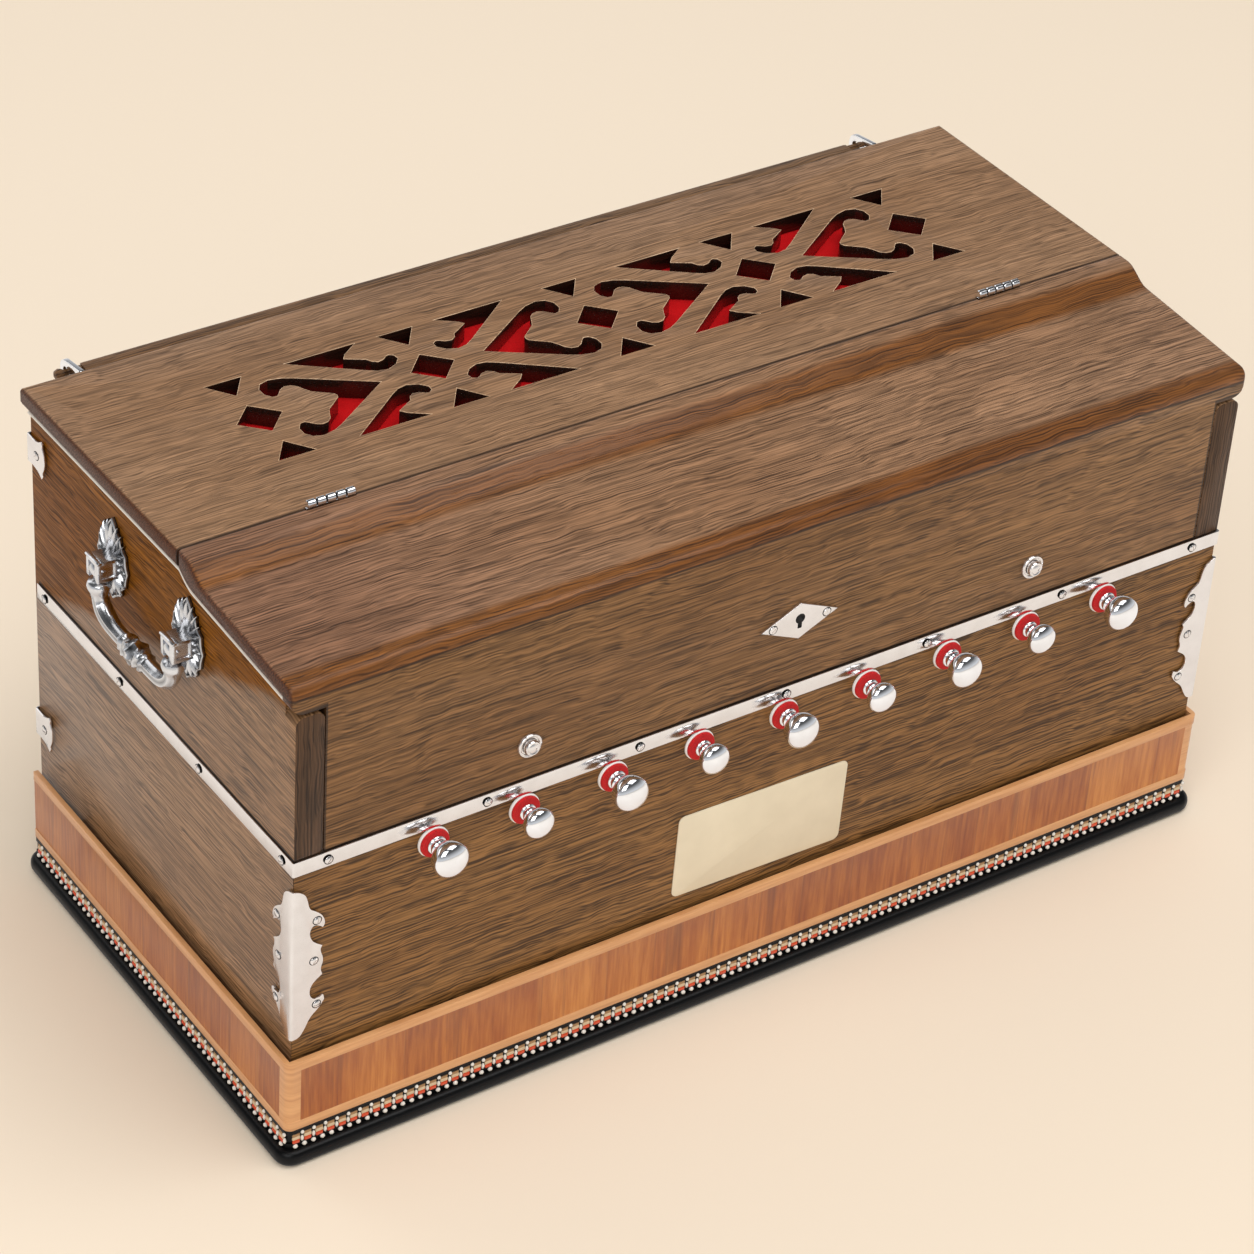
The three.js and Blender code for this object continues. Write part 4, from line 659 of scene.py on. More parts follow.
def place_camera():
    """The photograph's own view: its place, direction and roll."""
    azimuth, elevation, roll = 36.114, 35.747, 4.105
    data = bpy.data.cameras.new("camera")
    data.sensor_width = 36.0
    data.lens = 118.65
    data.clip_start, data.clip_end = 0.1, 50.0
    camera = bpy.data.objects.new("camera", data)
    bpy.context.collection.objects.link(camera)
    turn = (Matrix.Rotation(-math.radians(azimuth), 4, "Z")
            @ Matrix.Rotation(math.radians(90 - elevation), 4, "X")
            @ Matrix.Rotation(math.radians(roll), 4, "Z"))
    camera.matrix_world = Matrix.Translation((-1.1168, -1.5295, 1.5086)) @ turn
    bpy.context.scene.camera = camera


FLOOR_TONE = tone(240, 225, 205)


def lay_floor():
    bpy.ops.object.select_all(action="DESELECT")
    bpy.ops.mesh.primitive_plane_add(size=30, location=(0, 0, 0))
    floor = settle(named("studio_floor"))
    f = Finish("studio_floor")
    glossy_ray = f.node("ShaderNodeLightPath").outputs["Is Glossy Ray"]
    f.shade(Base_Color=f.mix(glossy_ray, FLOOR_TONE, tone(244, 239, 233)), Roughness=0.9)
    f.shader.inputs["Specular IOR Level"].default_value = 0.1
    floor.data.materials.append(f.material)


def light_studio():
    world = bpy.data.worlds.new("studio")
    bpy.context.scene.world = world
    world.use_nodes = True
    tree = world.node_tree
    background = tree.nodes["Background"]
    path = tree.nodes.new("ShaderNodeLightPath")
    sky = tree.nodes.new("ShaderNodeTexCoord")
    parts = tree.nodes.new("ShaderNodeSeparateXYZ")
    tree.links.new(sky.outputs["Generated"], parts.inputs[0])
    dim = tree.nodes.new("ShaderNodeMapRange")
    for key, value in (("From Min", 0.0), ("From Max", 0.55), ("To Min", 0.75), ("To Max", 0.1)):
        dim.inputs[key].default_value = value
    tree.links.new(parts.outputs["Z"], dim.inputs["Value"])
    strength = tree.nodes.new("ShaderNodeMix")
    strength.inputs[2].default_value = 0.55
    tree.links.new(path.outputs["Is Glossy Ray"], strength.inputs[0])
    tree.links.new(dim.outputs[0], strength.inputs[3])
    tree.links.new(strength.outputs[0], background.inputs["Strength"])
    tint = tree.nodes.new("ShaderNodeMix")
    tint.data_type = "RGBA"
    tint.inputs[6].default_value = (1.0, 0.96, 0.91, 1.0)
    tint.inputs[7].default_value = (0.95, 0.97, 1.0, 1.0)
    tree.links.new(path.outputs["Is Glossy Ray"], tint.inputs[0])
    tree.links.new(tint.outputs[2], background.inputs["Color"])
    for name, place, size, power in (
        ("key_light", (0.6, -0.7, 3.1), 2.2, 44.0),
        ("fill_light", (-2.0, -1.8, 2.5), 2.2, 39.0),
        ("rear_light", (-0.6, 2.6, 2.4), 2.0, 14.0),
    ):
        data = bpy.data.lights.new(name, "AREA")
        data.shape = "SQUARE"
        data.size = size
        data.energy = power
        lamp = bpy.data.objects.new(name, data)
        bpy.context.collection.objects.link(lamp)
        lamp.location = place
        lamp.rotation_euler = (Vector((0, 0, 0.15)) - lamp.location).to_track_quat("-Z", "Y").to_euler()


# Case


def build_base():
    low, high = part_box("base_plate")
    piece = board("base_board", low, high, edge=3.9 * MM, steps=6, corner=10 * MM, corner_steps=8)
    hold(smooth(piece, 40), "case", BLACK_LACQUER, "black_lacquer", "base_plate")


def build_boards():
    """Boards whose CAD shape is right: their sharp edges are eased and they get their wood."""
    for node, body, material, edge in (
        ("side_left", "case", WALNUT_SIDE, 1.0),
        ("side_right", "case", WALNUT_SIDE, 1.0),
        ("back_board", "case", WALNUT_BACK, 0.5),
        ("bellows_board", "pump_board", WALNUT_BACK, 0.0),
        ("name_board", "case", WALNUT_DARK, 0.8),
    ):
        slot = "dark_walnut" if node == "name_board" else "walnut"
        hold(refined(node, node + "_wood", edge * MM), body, material, slot, node)
    for side in SIDES:
        piece = bpy.data.objects[f"side_{side}_wood"]
        piece.data.materials.append(WALNUT_POST)
        for face in piece.data.polygons:
            if face.center.y < case_front + 0.9 * MM:
                face.material_index = 1
    hold(refined("reed_board", "reed_board_wood"), "case", PALE_WOOD, "pale_wood", "reed_board")
    plinth = refined("plinth_trim", "plinth_veneer", 0.3 * MM)
    hold(plinth, "case", PLINTH_VENEER, "plinth_veneer", "plinth_trim")


def finish_openings(piece):
    """Gives the upright walls of the openings their own finish, and their eased rims a pale finish that is a
    painted highlight.
    """
    piece.data.materials.append(FRET_WALL)
    piece.data.materials.append(FRET_RIM_HIGHLIGHT)
    floor_z, top_z = lid_box[0].z, lid_box[1].z - 0.4 * MM
    for face in piece.data.polygons:
        centre = face.center
        inside = abs(centre.x) < lid_box[1].x - 45 * MM and centre.y < lid_box[1].y - 20 * MM
        inside = inside and centre.y > lid_box[0].y + 15 * MM
        if inside and abs(face.normal.z) < 0.5 and floor_z < centre.z < top_z:
            face.material_index = 1
        elif inside and 0.5 < face.normal.z < 0.99:
            face.material_index = 2


def build_lid():
    finish_openings(hold(refined("fret_top", "lid", 0.6 * MM), "case", WALNUT_LID, "walnut", "fret_top"))


def build_cover():
    hold(refined("front_cover", "cover", 0.6 * MM, 3), "cover", WALNUT_COVER, "walnut", "front_cover")


def build_cloth():
    """Red cloth drawn over a frame below the fretwork, a little slack."""
    low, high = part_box("grille_cloth")
    bpy.ops.object.select_all(action="DESELECT")
    bpy.ops.mesh.primitive_grid_add(x_subdivisions=140, y_subdivisions=36, size=1, location=(0, 0, 0))
    piece = named("fret_cloth")
    piece.scale = (high.x - low.x, high.y - low.y, 1)
    piece.location = ((low.x + high.x) / 2, (low.y + high.y) / 2, (low.z + high.z) / 2)
    settle(piece)
    ripples = [(RNG.uniform(20, 70), RNG.uniform(15, 60), RNG.uniform(0, 6)) for _ in range(6)]
    for vertex in piece.data.vertices:
        x, y = vertex.co.x, vertex.co.y
        wave = sum(math.sin(a * x + b * y + c) for a, b, c in ripples) / len(ripples)
        vertex.co.z += 0.35 * MM * wave
    apply_modifier(piece, "SOLIDIFY", thickness=0.4 * MM, offset=0.0)
    smooth(piece, 60)
    hold(piece, "case", RED_CLOTH, "red_cloth", "grille_cloth")


def pleated_box(name, low, high, folds, fold, axis, rows=4):
    """Folded cloth between two boards: rings along an axis, in and out, with soft creases."""
    others = [i for i in range(3) if i != axis]
    centre = (low + high) / 2
    half = (high - low) / 2
    corners = (((-1, -1), 1.0), ((1, -1), 1.5), ((1, 1), 2.0), ((-1, 1), 2.5))
    r = 3 * MM
    mesh = bmesh.new()
    rings = []
    count = 2 * folds * rows
    for step in range(count + 1):
        t = step / count
        wave = (1 + math.cos(2 * math.pi * folds * t)) / 2
        inset = fold * wave ** 0.8
        ring = []
        for (u, v), first_turn in corners:
            for turn in range(4):
                angle = math.pi * (first_turn + turn / 6)
                co = Vector((0, 0, 0))
                co[axis] = low[axis] + (high[axis] - low[axis]) * t
                co[others[0]] = centre[others[0]] + u * (half[others[0]] - inset - r) + r * math.cos(angle)
                co[others[1]] = centre[others[1]] + v * (half[others[1]] - inset - r) + r * math.sin(angle)
                ring.append(mesh.verts.new(co))
        rings.append(ring)
    for a, b in zip(rings, rings[1:]):
        for i in range(len(a)):
            j = (i + 1) % len(a)
            mesh.faces.new((a[i], a[j], b[j], b[i]))
    mesh.faces.new(rings[0])
    mesh.faces.new(rings[-1])
    bmesh.ops.recalc_face_normals(mesh, faces=mesh.faces)
    data = bpy.data.meshes.new(name)
    mesh.to_mesh(data)
    mesh.free()
    piece = bpy.data.objects.new(name, data)
    bpy.context.collection.objects.link(piece)
    return smooth(piece, 50)


def build_bellows():
    low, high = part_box("bellows_folds")
    piece = pleated_box("pump_bellows", low, high, folds=4, fold=18 * MM, axis=1)
    hold(piece, "case", BELLOWS_CLOTH, "bellows_cloth", "bellows_folds")
    piece.parent = None
    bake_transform(piece)
    low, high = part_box("reservoir_bellows")
    inner = pleated_box("reservoir", low, high, folds=3, fold=12 * MM, axis=2)
    hold(inner, "case", BELLOWS_CLOTH, "bellows_cloth", "reservoir_bellows")


# Front board, stops and washers


STOPS = range(1, 10)
LARGE_HEAD = (10.4 * MM, 19 * MM)
SMALL_HEAD = (9.0 * MM, 16 * MM)


def stop_place(i):
    """Where the middle line of a stop meets the front of the case."""
    low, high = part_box(f"stop_knob_{i}")
    return ((low.x + high.x) / 2, case_front, (low.z + high.z) / 2)


def build_front_board():
    piece = refined("front_board", "front_board_wood")
    hold(piece, "case", WALNUT_FRONT, "walnut", "front_board")
    reds, whites = [], []
    for i in STOPS:
        white = turned(f"white_{i}", [
            (3.7 * MM, -0.1 * MM), (8.6 * MM, -0.1 * MM), (9.1 * MM, 0.3 * MM), (9.1 * MM, 1.3 * MM),
            (8.7 * MM, 1.65 * MM), (3.7 * MM, 1.65 * MM)], 40)
        red = turned(f"red_{i}", [
            (3.7 * MM, 1.5 * MM), (8.0 * MM, 1.5 * MM), (8.45 * MM, 1.9 * MM), (8.45 * MM, 3.0 * MM),
            (8.0 * MM, 3.4 * MM), (3.7 * MM, 3.4 * MM)], 40)
        whites.append(placed(white, "-y", stop_place(i)))
        reds.append(placed(red, "-y", stop_place(i)))
    hold(smooth(joined("stop_washers_white", whites), 40), "case", WHITE_RING, "white_key", "front_board")
    hold(smooth(joined("stop_washers_red", reds), 40), "case", RED_FELT, "red_cloth", "front_board")


def knob_profile(radius, out):
    """A stop from its stem to the front of its head: ringed neck, cove, round back, shallow dome."""
    foot = 3.4 * MM
    neck = 0.44 * radius
    points = [(3.1 * MM, -44 * MM), (3.1 * MM, foot), (neck + 0.7 * MM, foot + 0.05 * MM),
              (neck + 1.0 * MM, foot + 0.6 * MM), (neck + 1.0 * MM, foot + 1.5 * MM),
              (neck + 0.5 * MM, foot + 2.1 * MM), (neck, foot + 2.3 * MM), (neck, foot + 3.2 * MM),
              (neck + 0.4 * MM, foot + 3.5 * MM), (neck + 0.4 * MM, foot + 4.4 * MM),
              (neck - 0.2 * MM, foot + 4.9 * MM)]
    rim = out - 0.05 * radius
    back = rim - points[-1][1]
    for step in range(2, 8):
        turn = math.pi / 2 * step / 8
        points.append((neck + (radius - neck) * math.sin(turn), rim - 0.8 * back * math.cos(turn)))
    for step in range(0, 12):
        turn = math.pi / 2 * step / 12
        points.append((radius * math.cos(turn), rim + 0.55 * radius * math.sin(turn)))
    points.append((0.02 * radius, rim + 0.55 * radius))
    return points


def build_stops():
    """Large and small heads, each from the width of its own CAD knob."""
    for i in STOPS:
        node = f"stop_knob_{i}"
        low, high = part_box(node)
        large = (high.x - low.x) / 2 > 9.7 * MM
        radius, out = LARGE_HEAD if large else SMALL_HEAD
        piece = placed(turned(f"stop_{i}", knob_profile(radius, out), 40), "-y", stop_place(i))
        hold(smooth(piece, 40), f"stop_{i}", CHROME, "chrome_plate", node)


# Plates, brackets, screws


LEAF = 19.2 * MM
REAR_SCREW_IN = 0.6 * 19 * MM


def slotted_screw(name, radius=2.3 * MM, rise=1.0 * MM):
    head = turned(name, [
        (radius, -0.1 * MM), (radius, 0.15 * MM), (0.9 * radius, 0.45 * MM), (0.6 * radius, 0.8 * rise),
        (0.3 * radius, 0.97 * rise), (0.02 * radius, rise)], 20)
    bpy.ops.object.select_all(action="DESELECT")
    bpy.ops.mesh.primitive_cube_add(size=1, location=(0, 0, rise))
    slot = named(name + "_slot")
    slot.scale = (3 * radius, 0.6 * MM, 1.3 * MM)
    settle(slot)
    # Painted shade: a thin black ring round the foot of each head.
    ring = turned(name + "_ring", [
        (radius + 0.45 * MM, -0.1 * MM), (radius + 0.45 * MM, 0.06 * MM), (0.5 * MM, 0.06 * MM)], 20)
    return joined(name, [finished_in(drilled(head, slot), NICKEL), finished_in(ring, BLACK_LACQUER)])


def build_screws():
    """Slotted screws over the plain heads of the band and the brackets."""
    pattern = slotted_screw("screw")
    band_low, band_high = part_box("nickel_band")
    half = abs(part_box("side_left")[0].x)
    skin = case_front - band_low.y
    middle = (band_low.z + band_high.z) / 2
    inset = 9.5 * MM
    depth = band_high.y - case_front
    heads = []

    def drive(axis, place):
        turn = TURN[axis] @ Matrix.Rotation(RNG.uniform(0, math.pi), 4, "Z")
        heads.append(copied(pattern, f"head_{len(heads)}", Matrix.Translation(place) @ turn))

    for k in range(4):
        y = case_front + inset + k * (depth - 2 * inset) / 3
        for s in (-1, 1):
            drive("-x" if s < 0 else "x", (s * (half + skin), y, middle))
    for k in range(7):
        x = (k - 3) * (2 * half - 4 * inset) / 6
        drive("-y", (x, case_front - skin, middle))
    case_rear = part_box("side_left")[1].y
    for s in (-1, 1):
        corner = half + skin
        low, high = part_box("front_bracket_left")
        for u, v in ((0.8, 0.2), (0.7, 0.5), (0.78, 0.765)):
            z = low.z + v * (high.z - low.z)
            drive("-y", (s * (corner - u * LEAF), case_front - skin, z))
            drive("-x" if s < 0 else "x", (s * corner, case_front - skin + u * LEAF, z))
        for node in ("rear_lower_bracket_left", "rear_upper_bracket_left"):
            low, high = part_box(node)
            z = (low.z + high.z) / 2
            drive("y", (s * (corner - REAR_SCREW_IN), case_rear + skin, z))
            drive("-x" if s < 0 else "x", (s * corner, case_rear + skin - REAR_SCREW_IN, z))
    bpy.data.objects.remove(pattern)
    hold(smooth(joined("case_screws", heads), 30), "case", None, "nickel_plate")


BRACKET_THICK = 1.2 * MM
LEAF_EDGE = [
    (0.0, 0.0), (0.24, 0.005), (0.42, 0.06), (0.56, 0.12), (0.86, 0.17), (1.0, 0.214), (0.97, 0.255),
    (0.84, 0.236), (0.64, 0.238), (0.52, 0.286), (0.6, 0.345), (0.93, 0.39), (0.86, 0.43), (0.97, 0.486),
    (0.84, 0.56), (0.92, 0.585), (0.6, 0.63), (0.5, 0.695), (0.62, 0.74), (0.84, 0.72), (0.92, 0.7),
    (1.0, 0.735), (0.9, 0.79), (0.68, 0.83), (0.5, 0.855), (0.44, 0.92), (0.36, 0.965), (0.1, 1.0)]
LEAF_TIPS = (5, 11, 15)
FISHTAIL_EDGE = [
    (0.0, 0.14), (0.3, 0.16), (0.6, 0.12), (0.84, 0.0), (0.9, 0.08), (0.88, 0.16), (1.0, 0.35),
    (1.0, 0.65), (0.88, 0.84), (0.9, 0.92), (0.84, 1.0), (0.6, 0.88), (0.3, 0.84), (0.0, 0.86)]
FISHTAIL_TIPS = (3, 5, 8, 10)


def folded_bracket(name, edge, tips, height):
    """A plate sawn to both leaves' outline, its rim eased, then folded square down its middle.

    Its outer corner is at X = 0 and Y = 0, one leaf along +X, the other along +Y.
    """
    right = [(u * LEAF, v * height) for u, v in edge]
    left = [(-u, v) for u, v in reversed(right) if u > 0]
    outline = [point for point in right if point[0] > 0 or point == right[0]]
    outline += [right[-1]] + left if right[-1][0] == 0 else left
    points = [(edge[i][0] * LEAF, edge[i][1] * height) for i in tips]
    sharp = [k for k, (u, v) in enumerate(outline) if (abs(u), v) in points]
    piece = sawn(name, rounded_outline(outline, sharp), BRACKET_THICK)
    ease_edges(piece, lambda e: all(v.co.z > BRACKET_THICK / 2 for v in e.verts), 0.45 * MM, 2)
    inner = 0.5 * MM
    half_bend = math.pi * inner / 2
    edit(piece)
    for cut in (-1.0, -0.5, 0.0, 0.5, 1.0):
        bpy.ops.mesh.select_all(action="SELECT")
        bpy.ops.mesh.bisect(plane_co=(cut * half_bend, 0, 0), plane_no=(1, 0, 0))
    done(piece)
    centre = inner + BRACKET_THICK
    for vertex in piece.data.vertices:
        run, rise, out = vertex.co
        radius = inner + out
        turn = math.radians(90) * min(max((half_bend - run) / (2 * half_bend), 0), 1)
        x = centre - radius * math.sin(turn) + max(run - half_bend, 0)
        y = centre - radius * math.cos(turn) + max(-run - half_bend, 0)
        vertex.co = (x, y, rise)
    edit(piece)
    bpy.ops.mesh.select_all(action="SELECT")
    bpy.ops.mesh.normals_make_consistent(inside=False)
    return smooth(done(piece), 30)


def build_brackets():
    front_low, front_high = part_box("front_bracket_left")
    front = folded_bracket("front_bracket", LEAF_EDGE, LEAF_TIPS, front_high.z - front_low.z)
    rear_low, rear_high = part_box("rear_lower_bracket_left")
    rear = folded_bracket("rear_bracket", FISHTAIL_EDGE, FISHTAIL_TIPS, rear_high.z - rear_low.z)
    for side in SIDES:
        s = TOWARD[side]
        corner_x = s * band_half
        for node, pattern, y, back in (
            (f"front_bracket_{side}", front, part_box("nickel_band")[0].y, 1),
            (f"rear_lower_bracket_{side}", rear, rear_high.y, -1),
            (f"rear_upper_bracket_{side}", rear, rear_high.y, -1),
        ):
            low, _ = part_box(node)
            matrix = Matrix.Translation((corner_x, y, low.z)) @ Matrix.Diagonal((-s, back, 1, 1))
            piece = copied(pattern, node + "_plate", matrix)
            hold(smooth(piece, 30), "case", NICKEL, "nickel_plate", node)
    bpy.data.objects.remove(front)
    bpy.data.objects.remove(rear)


def build_escutcheon():
    """The diamond of the lock, pierced for the key, with a slotted screw near each end."""
    low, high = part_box("lock_escutcheon")
    centre, half, rise = (low + high) / 2, (high - low) / 2, (high.y - low.y)
    plate = sawn("escutcheon", [(-half.x, 0), (0, -half.z), (half.x, 0), (0, half.z)], rise)
    ease_edges(plate, lambda e: all(v.co.z > rise / 2 for v in e.verts), 0.4 * MM, 2)
    bow = turned("bow", [(3.1 * MM, -1 * MM), (3.1 * MM, rise + 1 * MM)], 28)
    bow.data.transform(Matrix.Translation((0, 1.6 * MM, 0)))
    drilled(plate, bow)
    bit = board("bit", (-1.4 * MM, -4.6 * MM, -1 * MM), (1.4 * MM, 1.6 * MM, rise + 1 * MM), 0.5 * MM, 2)
    drilled(plate, bit)
    turn = Matrix.Translation((centre.x, high.y, centre.z)) @ Matrix.Rotation(math.radians(90), 4, "X")
    plate.data.transform(turn)
    hold(smooth(plate, 30), "cover", NICKEL, "nickel_plate", "lock_escutcheon")
    # Painted shade: a black sheet behind the plate fills the keyhole with dark.
    dark = board("keyhole_shade", (-4 * MM, -6 * MM, -0.05 * MM), (4 * MM, 5.6 * MM, 0.35 * MM), 0.1 * MM, 1)
    dark.data.transform(turn)
    hold(dark, "cover", BLACK_LACQUER, "black_lacquer")
    pattern = slotted_screw("escutcheon_screw", 2.4 * MM, 0.9 * MM)
    heads = []
    for s, spin in ((-1, 0.6), (1, 2.1)):
        place = turn @ Matrix.Translation((s * 0.7 * half.x, 0, rise))
        heads.append(copied(pattern, "screw", place @ Matrix.Rotation(spin, 4, "Z")))
    bpy.data.objects.remove(pattern)
    hold(smooth(joined("escutcheon_screws", heads), 30), "cover", None, "nickel_plate")


def build_hinge_leaf(kind, side, body):
    """One leaf of a butt hinge: every other knuckle of the barrel and the strip below them."""
    node = f"hinge_leaf_{kind}_{side}"
    fixed_low, fixed_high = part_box(f"hinge_leaf_fixed_{side}")
    moving_low, moving_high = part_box(f"hinge_leaf_moving_{side}")
    low_x, high_x = min(fixed_low.x, moving_low.x), max(fixed_high.x, moving_high.x)
    low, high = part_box(node)
    radius = 2.2 * MM
    middle_y = (min(fixed_low.y, moving_low.y) + max(fixed_high.y, moving_high.y)) / 2
    pivot = Vector((0, middle_y, high.z - radius))
    step = (high_x - low_x) / 5
    pieces = []
    for k in range(0 if kind == "fixed" else 1, 5, 2):
        knuckle = turned("knuckle", [
            (0.5 * radius, 0.4 * MM), (0.8 * radius, 0.4 * MM), (radius, 0.9 * MM),
            (radius, step - 0.9 * MM), (0.8 * radius, step - 0.4 * MM), (0.5 * radius, step - 0.4 * MM)], 24)
        pieces.append(placed(finished_in(knuckle, CHROME), "x", (low_x + k * step, pivot.y, pivot.z)))
    inner, outer = (0.1 * MM, 0.8 * MM) if kind == "fixed" else (-0.8 * MM, -0.1 * MM)
    strip = board("strip", (low_x, pivot.y + inner, low.z), (high_x, pivot.y + outer, pivot.z - 0.9 * radius),
                  0.15 * MM, 1)
    pieces.append(finished_in(strip, CHROME))
    if kind == "fixed":
        pin = turned("pin", [(1.5 * MM, 0.6 * MM), (1.5 * MM, high_x - low_x - 0.6 * MM)], 16)
        pieces.append(placed(finished_in(pin, BLACK_LACQUER), "x", (low_x, pivot.y, pivot.z)))
    hold(smooth(joined(node + "_metal", pieces), 35), body, None, "chrome_plate", node)


def build_plates():
    band = refined("nickel_band", "nickel_band_plate", 0.25 * MM)
    hold(band, "case", NICKEL, "nickel_plate", "nickel_band")
    hold(refined("cover_lock", "lock_case", 0.4 * MM), "cover", NICKEL, "nickel_plate", "cover_lock")
    for side in SIDES:
        for kind, body in (("fixed", "case"), ("moving", "cover")):
            build_hinge_leaf(kind, side, body)
        node = f"bellows_hook_{side}"
        hold(refined(node, node + "_metal", 0.5 * MM, 3), f"hook_{side}", CHROME, "chrome_plate", node)


def build_studs():
    for side in SIDES:
        node = f"cover_stud_{side}"
        low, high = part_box(node)
        place = ((low.x + high.x) / 2, high.y, (low.z + high.z) / 2)
        piece = turned(node + "_turned", [
            (7.3 * MM, 0), (7.3 * MM, 1.1 * MM), (6.9 * MM, 1.7 * MM), (6.2 * MM, 1.9 * MM),
            (5.6 * MM, 1.6 * MM), (5.3 * MM, 0.7 * MM), (4.8 * MM, 0.7 * MM), (4.7 * MM, 1.8 * MM),
            (4.6 * MM, 3.6 * MM), (4.1 * MM, 4.4 * MM), (3.3 * MM, 4.6 * MM), (2.7 * MM, 4.2 * MM),
            (2.3 * MM, 4.5 * MM), (0.1 * MM, 4.9 * MM)], 40)
        hold(smooth(placed(piece, "-y", place), 35), "cover", NICKEL, "nickel_plate", node)


def build_plate():
    """A bare cream plate on the lower front board, slightly askew."""
    width, height, thick = 112.6 * MM, 54.7 * MM, 0.8 * MM
    centre = (-8.2 * MM, case_front - 0.5 * thick, 105.3 * MM)
    piece = board("blank_plate", (-width / 2, -thick / 2, -height / 2), (width / 2, thick / 2, height / 2),
                  edge=0.25 * MM, corner=4 * MM, axis=1)
    piece.data.transform(Matrix.Translation(centre) @ Matrix.Rotation(math.radians(1.4), 4, "Y"))
    hold(smooth(piece, 40), "case", CREAM_ENAMEL, "white_key")


# Keyboard


def key_piece(node, name, edge, material):
    """A key: its cover on top and in front as far as the name board, bare wood elsewhere."""
    piece = refined(node, name, edge)
    split_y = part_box("name_board")[0].y + 4 * MM
    edit(piece)
    bpy.ops.mesh.select_all(action="SELECT")
    bpy.ops.mesh.bisect(plane_co=(0, split_y, 0), plane_no=(0, 1, 0))
    done(piece)
    piece.data.materials.clear()
    piece.data.materials.append(material)
    piece.data.materials.append(PALE_WOOD)
    low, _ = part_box(node)
    for face in piece.data.polygons:
        cover = face.center.z > low.z + 8 * MM or face.center.y < low.y + 1 * MM
        face.material_index = 0 if cover and face.center.y < split_y else 1
    return piece


def build_keys():
    white = {n: key_piece(f"key_{n}", f"natural_{n}", 0.7 * MM, IVORY) for n in "cdefgab"}
    black = {n: key_piece(f"key_{n}_sharp", f"sharp_{n}", 1.0 * MM, EBONY) for n in "cdfga"}
    c_low, c_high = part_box("key_c")
    d_low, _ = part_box("key_d")
    pitch = d_low.x - c_low.x
    octave = 7 * pitch
    fixed_white, fixed_black = [], []
    for shift in (-1, 1, 2):
        move = Matrix.Translation((shift * octave, 0, 0))
        for n, piece in white.items():
            if shift < 2 or n in "cde":
                fixed_white.append(copied(piece, f"fixed_{n}_{shift}", move))
        for n, piece in black.items():
            if shift < 2 or n in "cd":
                fixed_black.append(copied(piece, f"fixed_{n}s_{shift}", move))
    last_x = 17 * pitch
    last = board("fixed_last", (c_low.x + last_x, c_low.y, c_low.z), (c_high.x + last_x, c_high.y, c_high.z),
                 0.7 * MM)
    last.data.materials.append(IVORY)
    fixed_white.append(last)
    hold(smooth(joined("fixed_naturals", fixed_white)), "case", None, "white_key", "key_frame")
    hold(smooth(joined("fixed_sharps", fixed_black)), "case", None, "black_key", "key_frame")
    for n, piece in white.items():
        hold(piece, f"playing_key_{n}", None, "white_key", f"key_{n}")
    for n, piece in black.items():
        hold(piece, f"playing_key_{n}_sharp", None, "black_key", f"key_{n}_sharp")
    low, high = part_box("key_frame")
    from_x, to_x = low.x + MM, high.x - MM
    parts = [
        board("rail_rear", (from_x, c_high.y - 12 * MM, low.z), (to_x, high.y, c_low.z - 0.3 * MM)),
        board("rail_front", (from_x, low.y + 5 * MM, low.z), (to_x, low.y + 15 * MM, low.z + 1.2 * MM),
              0.2 * MM),
    ]
    cheek = 4.2 * MM
    for x in (low.x, high.x - cheek):
        parts.append(board("cheek", (x, low.y, low.z), (x + cheek, high.y, low.z + 20 * MM)))
    hold(smooth(joined("key_rails", parts)), "case", PALE_WOOD, "pale_wood", "key_frame")


# Handles


ROSETTE_EDGE = [
    (0.0, 1.0), (0.2, 0.93), (0.28, 0.86), (0.52, 0.83), (0.6, 0.72), (0.86, 0.67), (0.88, 0.56), (1.0, 0.48),
    (0.88, 0.38), (0.84, 0.28), (0.6, 0.22), (0.52, 0.12), (0.28, 0.08), (0.0, 0.0)]
ROSETTE_TIPS = (0, 3, 5, 7, 9, 11, 13)
POST_TO_ROSETTE = (3.0 * MM, 1.2 * MM)
PIVOT_OUT = 11.2 * MM


def relief_leaf(name, length, width, rise, angle, start):
    """One leaf of the palmette: pointed, ridged down its middle, lying on the plate."""
    bpy.ops.object.select_all(action="DESELECT")
    bpy.ops.mesh.primitive_uv_sphere_add(segments=12, ring_count=10, radius=1)
    piece = named(name)
    piece.rotation_euler = (math.radians(90), 0, 0)
    piece.scale = (width / 2, rise, length / 2)
    settle(piece)
    for vertex in piece.data.vertices:
        share = vertex.co.y / length + 0.5
        vertex.co.x *= 1.25 - 0.9 * share ** 2
        ridge = 1 - abs(vertex.co.x) / (width / 2)
        vertex.co.z *= 0.45 + 0.55 * max(ridge, 0)
        vertex.co.y += start + length / 2
    piece.data.transform(Matrix.Rotation(angle, 4, "Z"))
    return piece


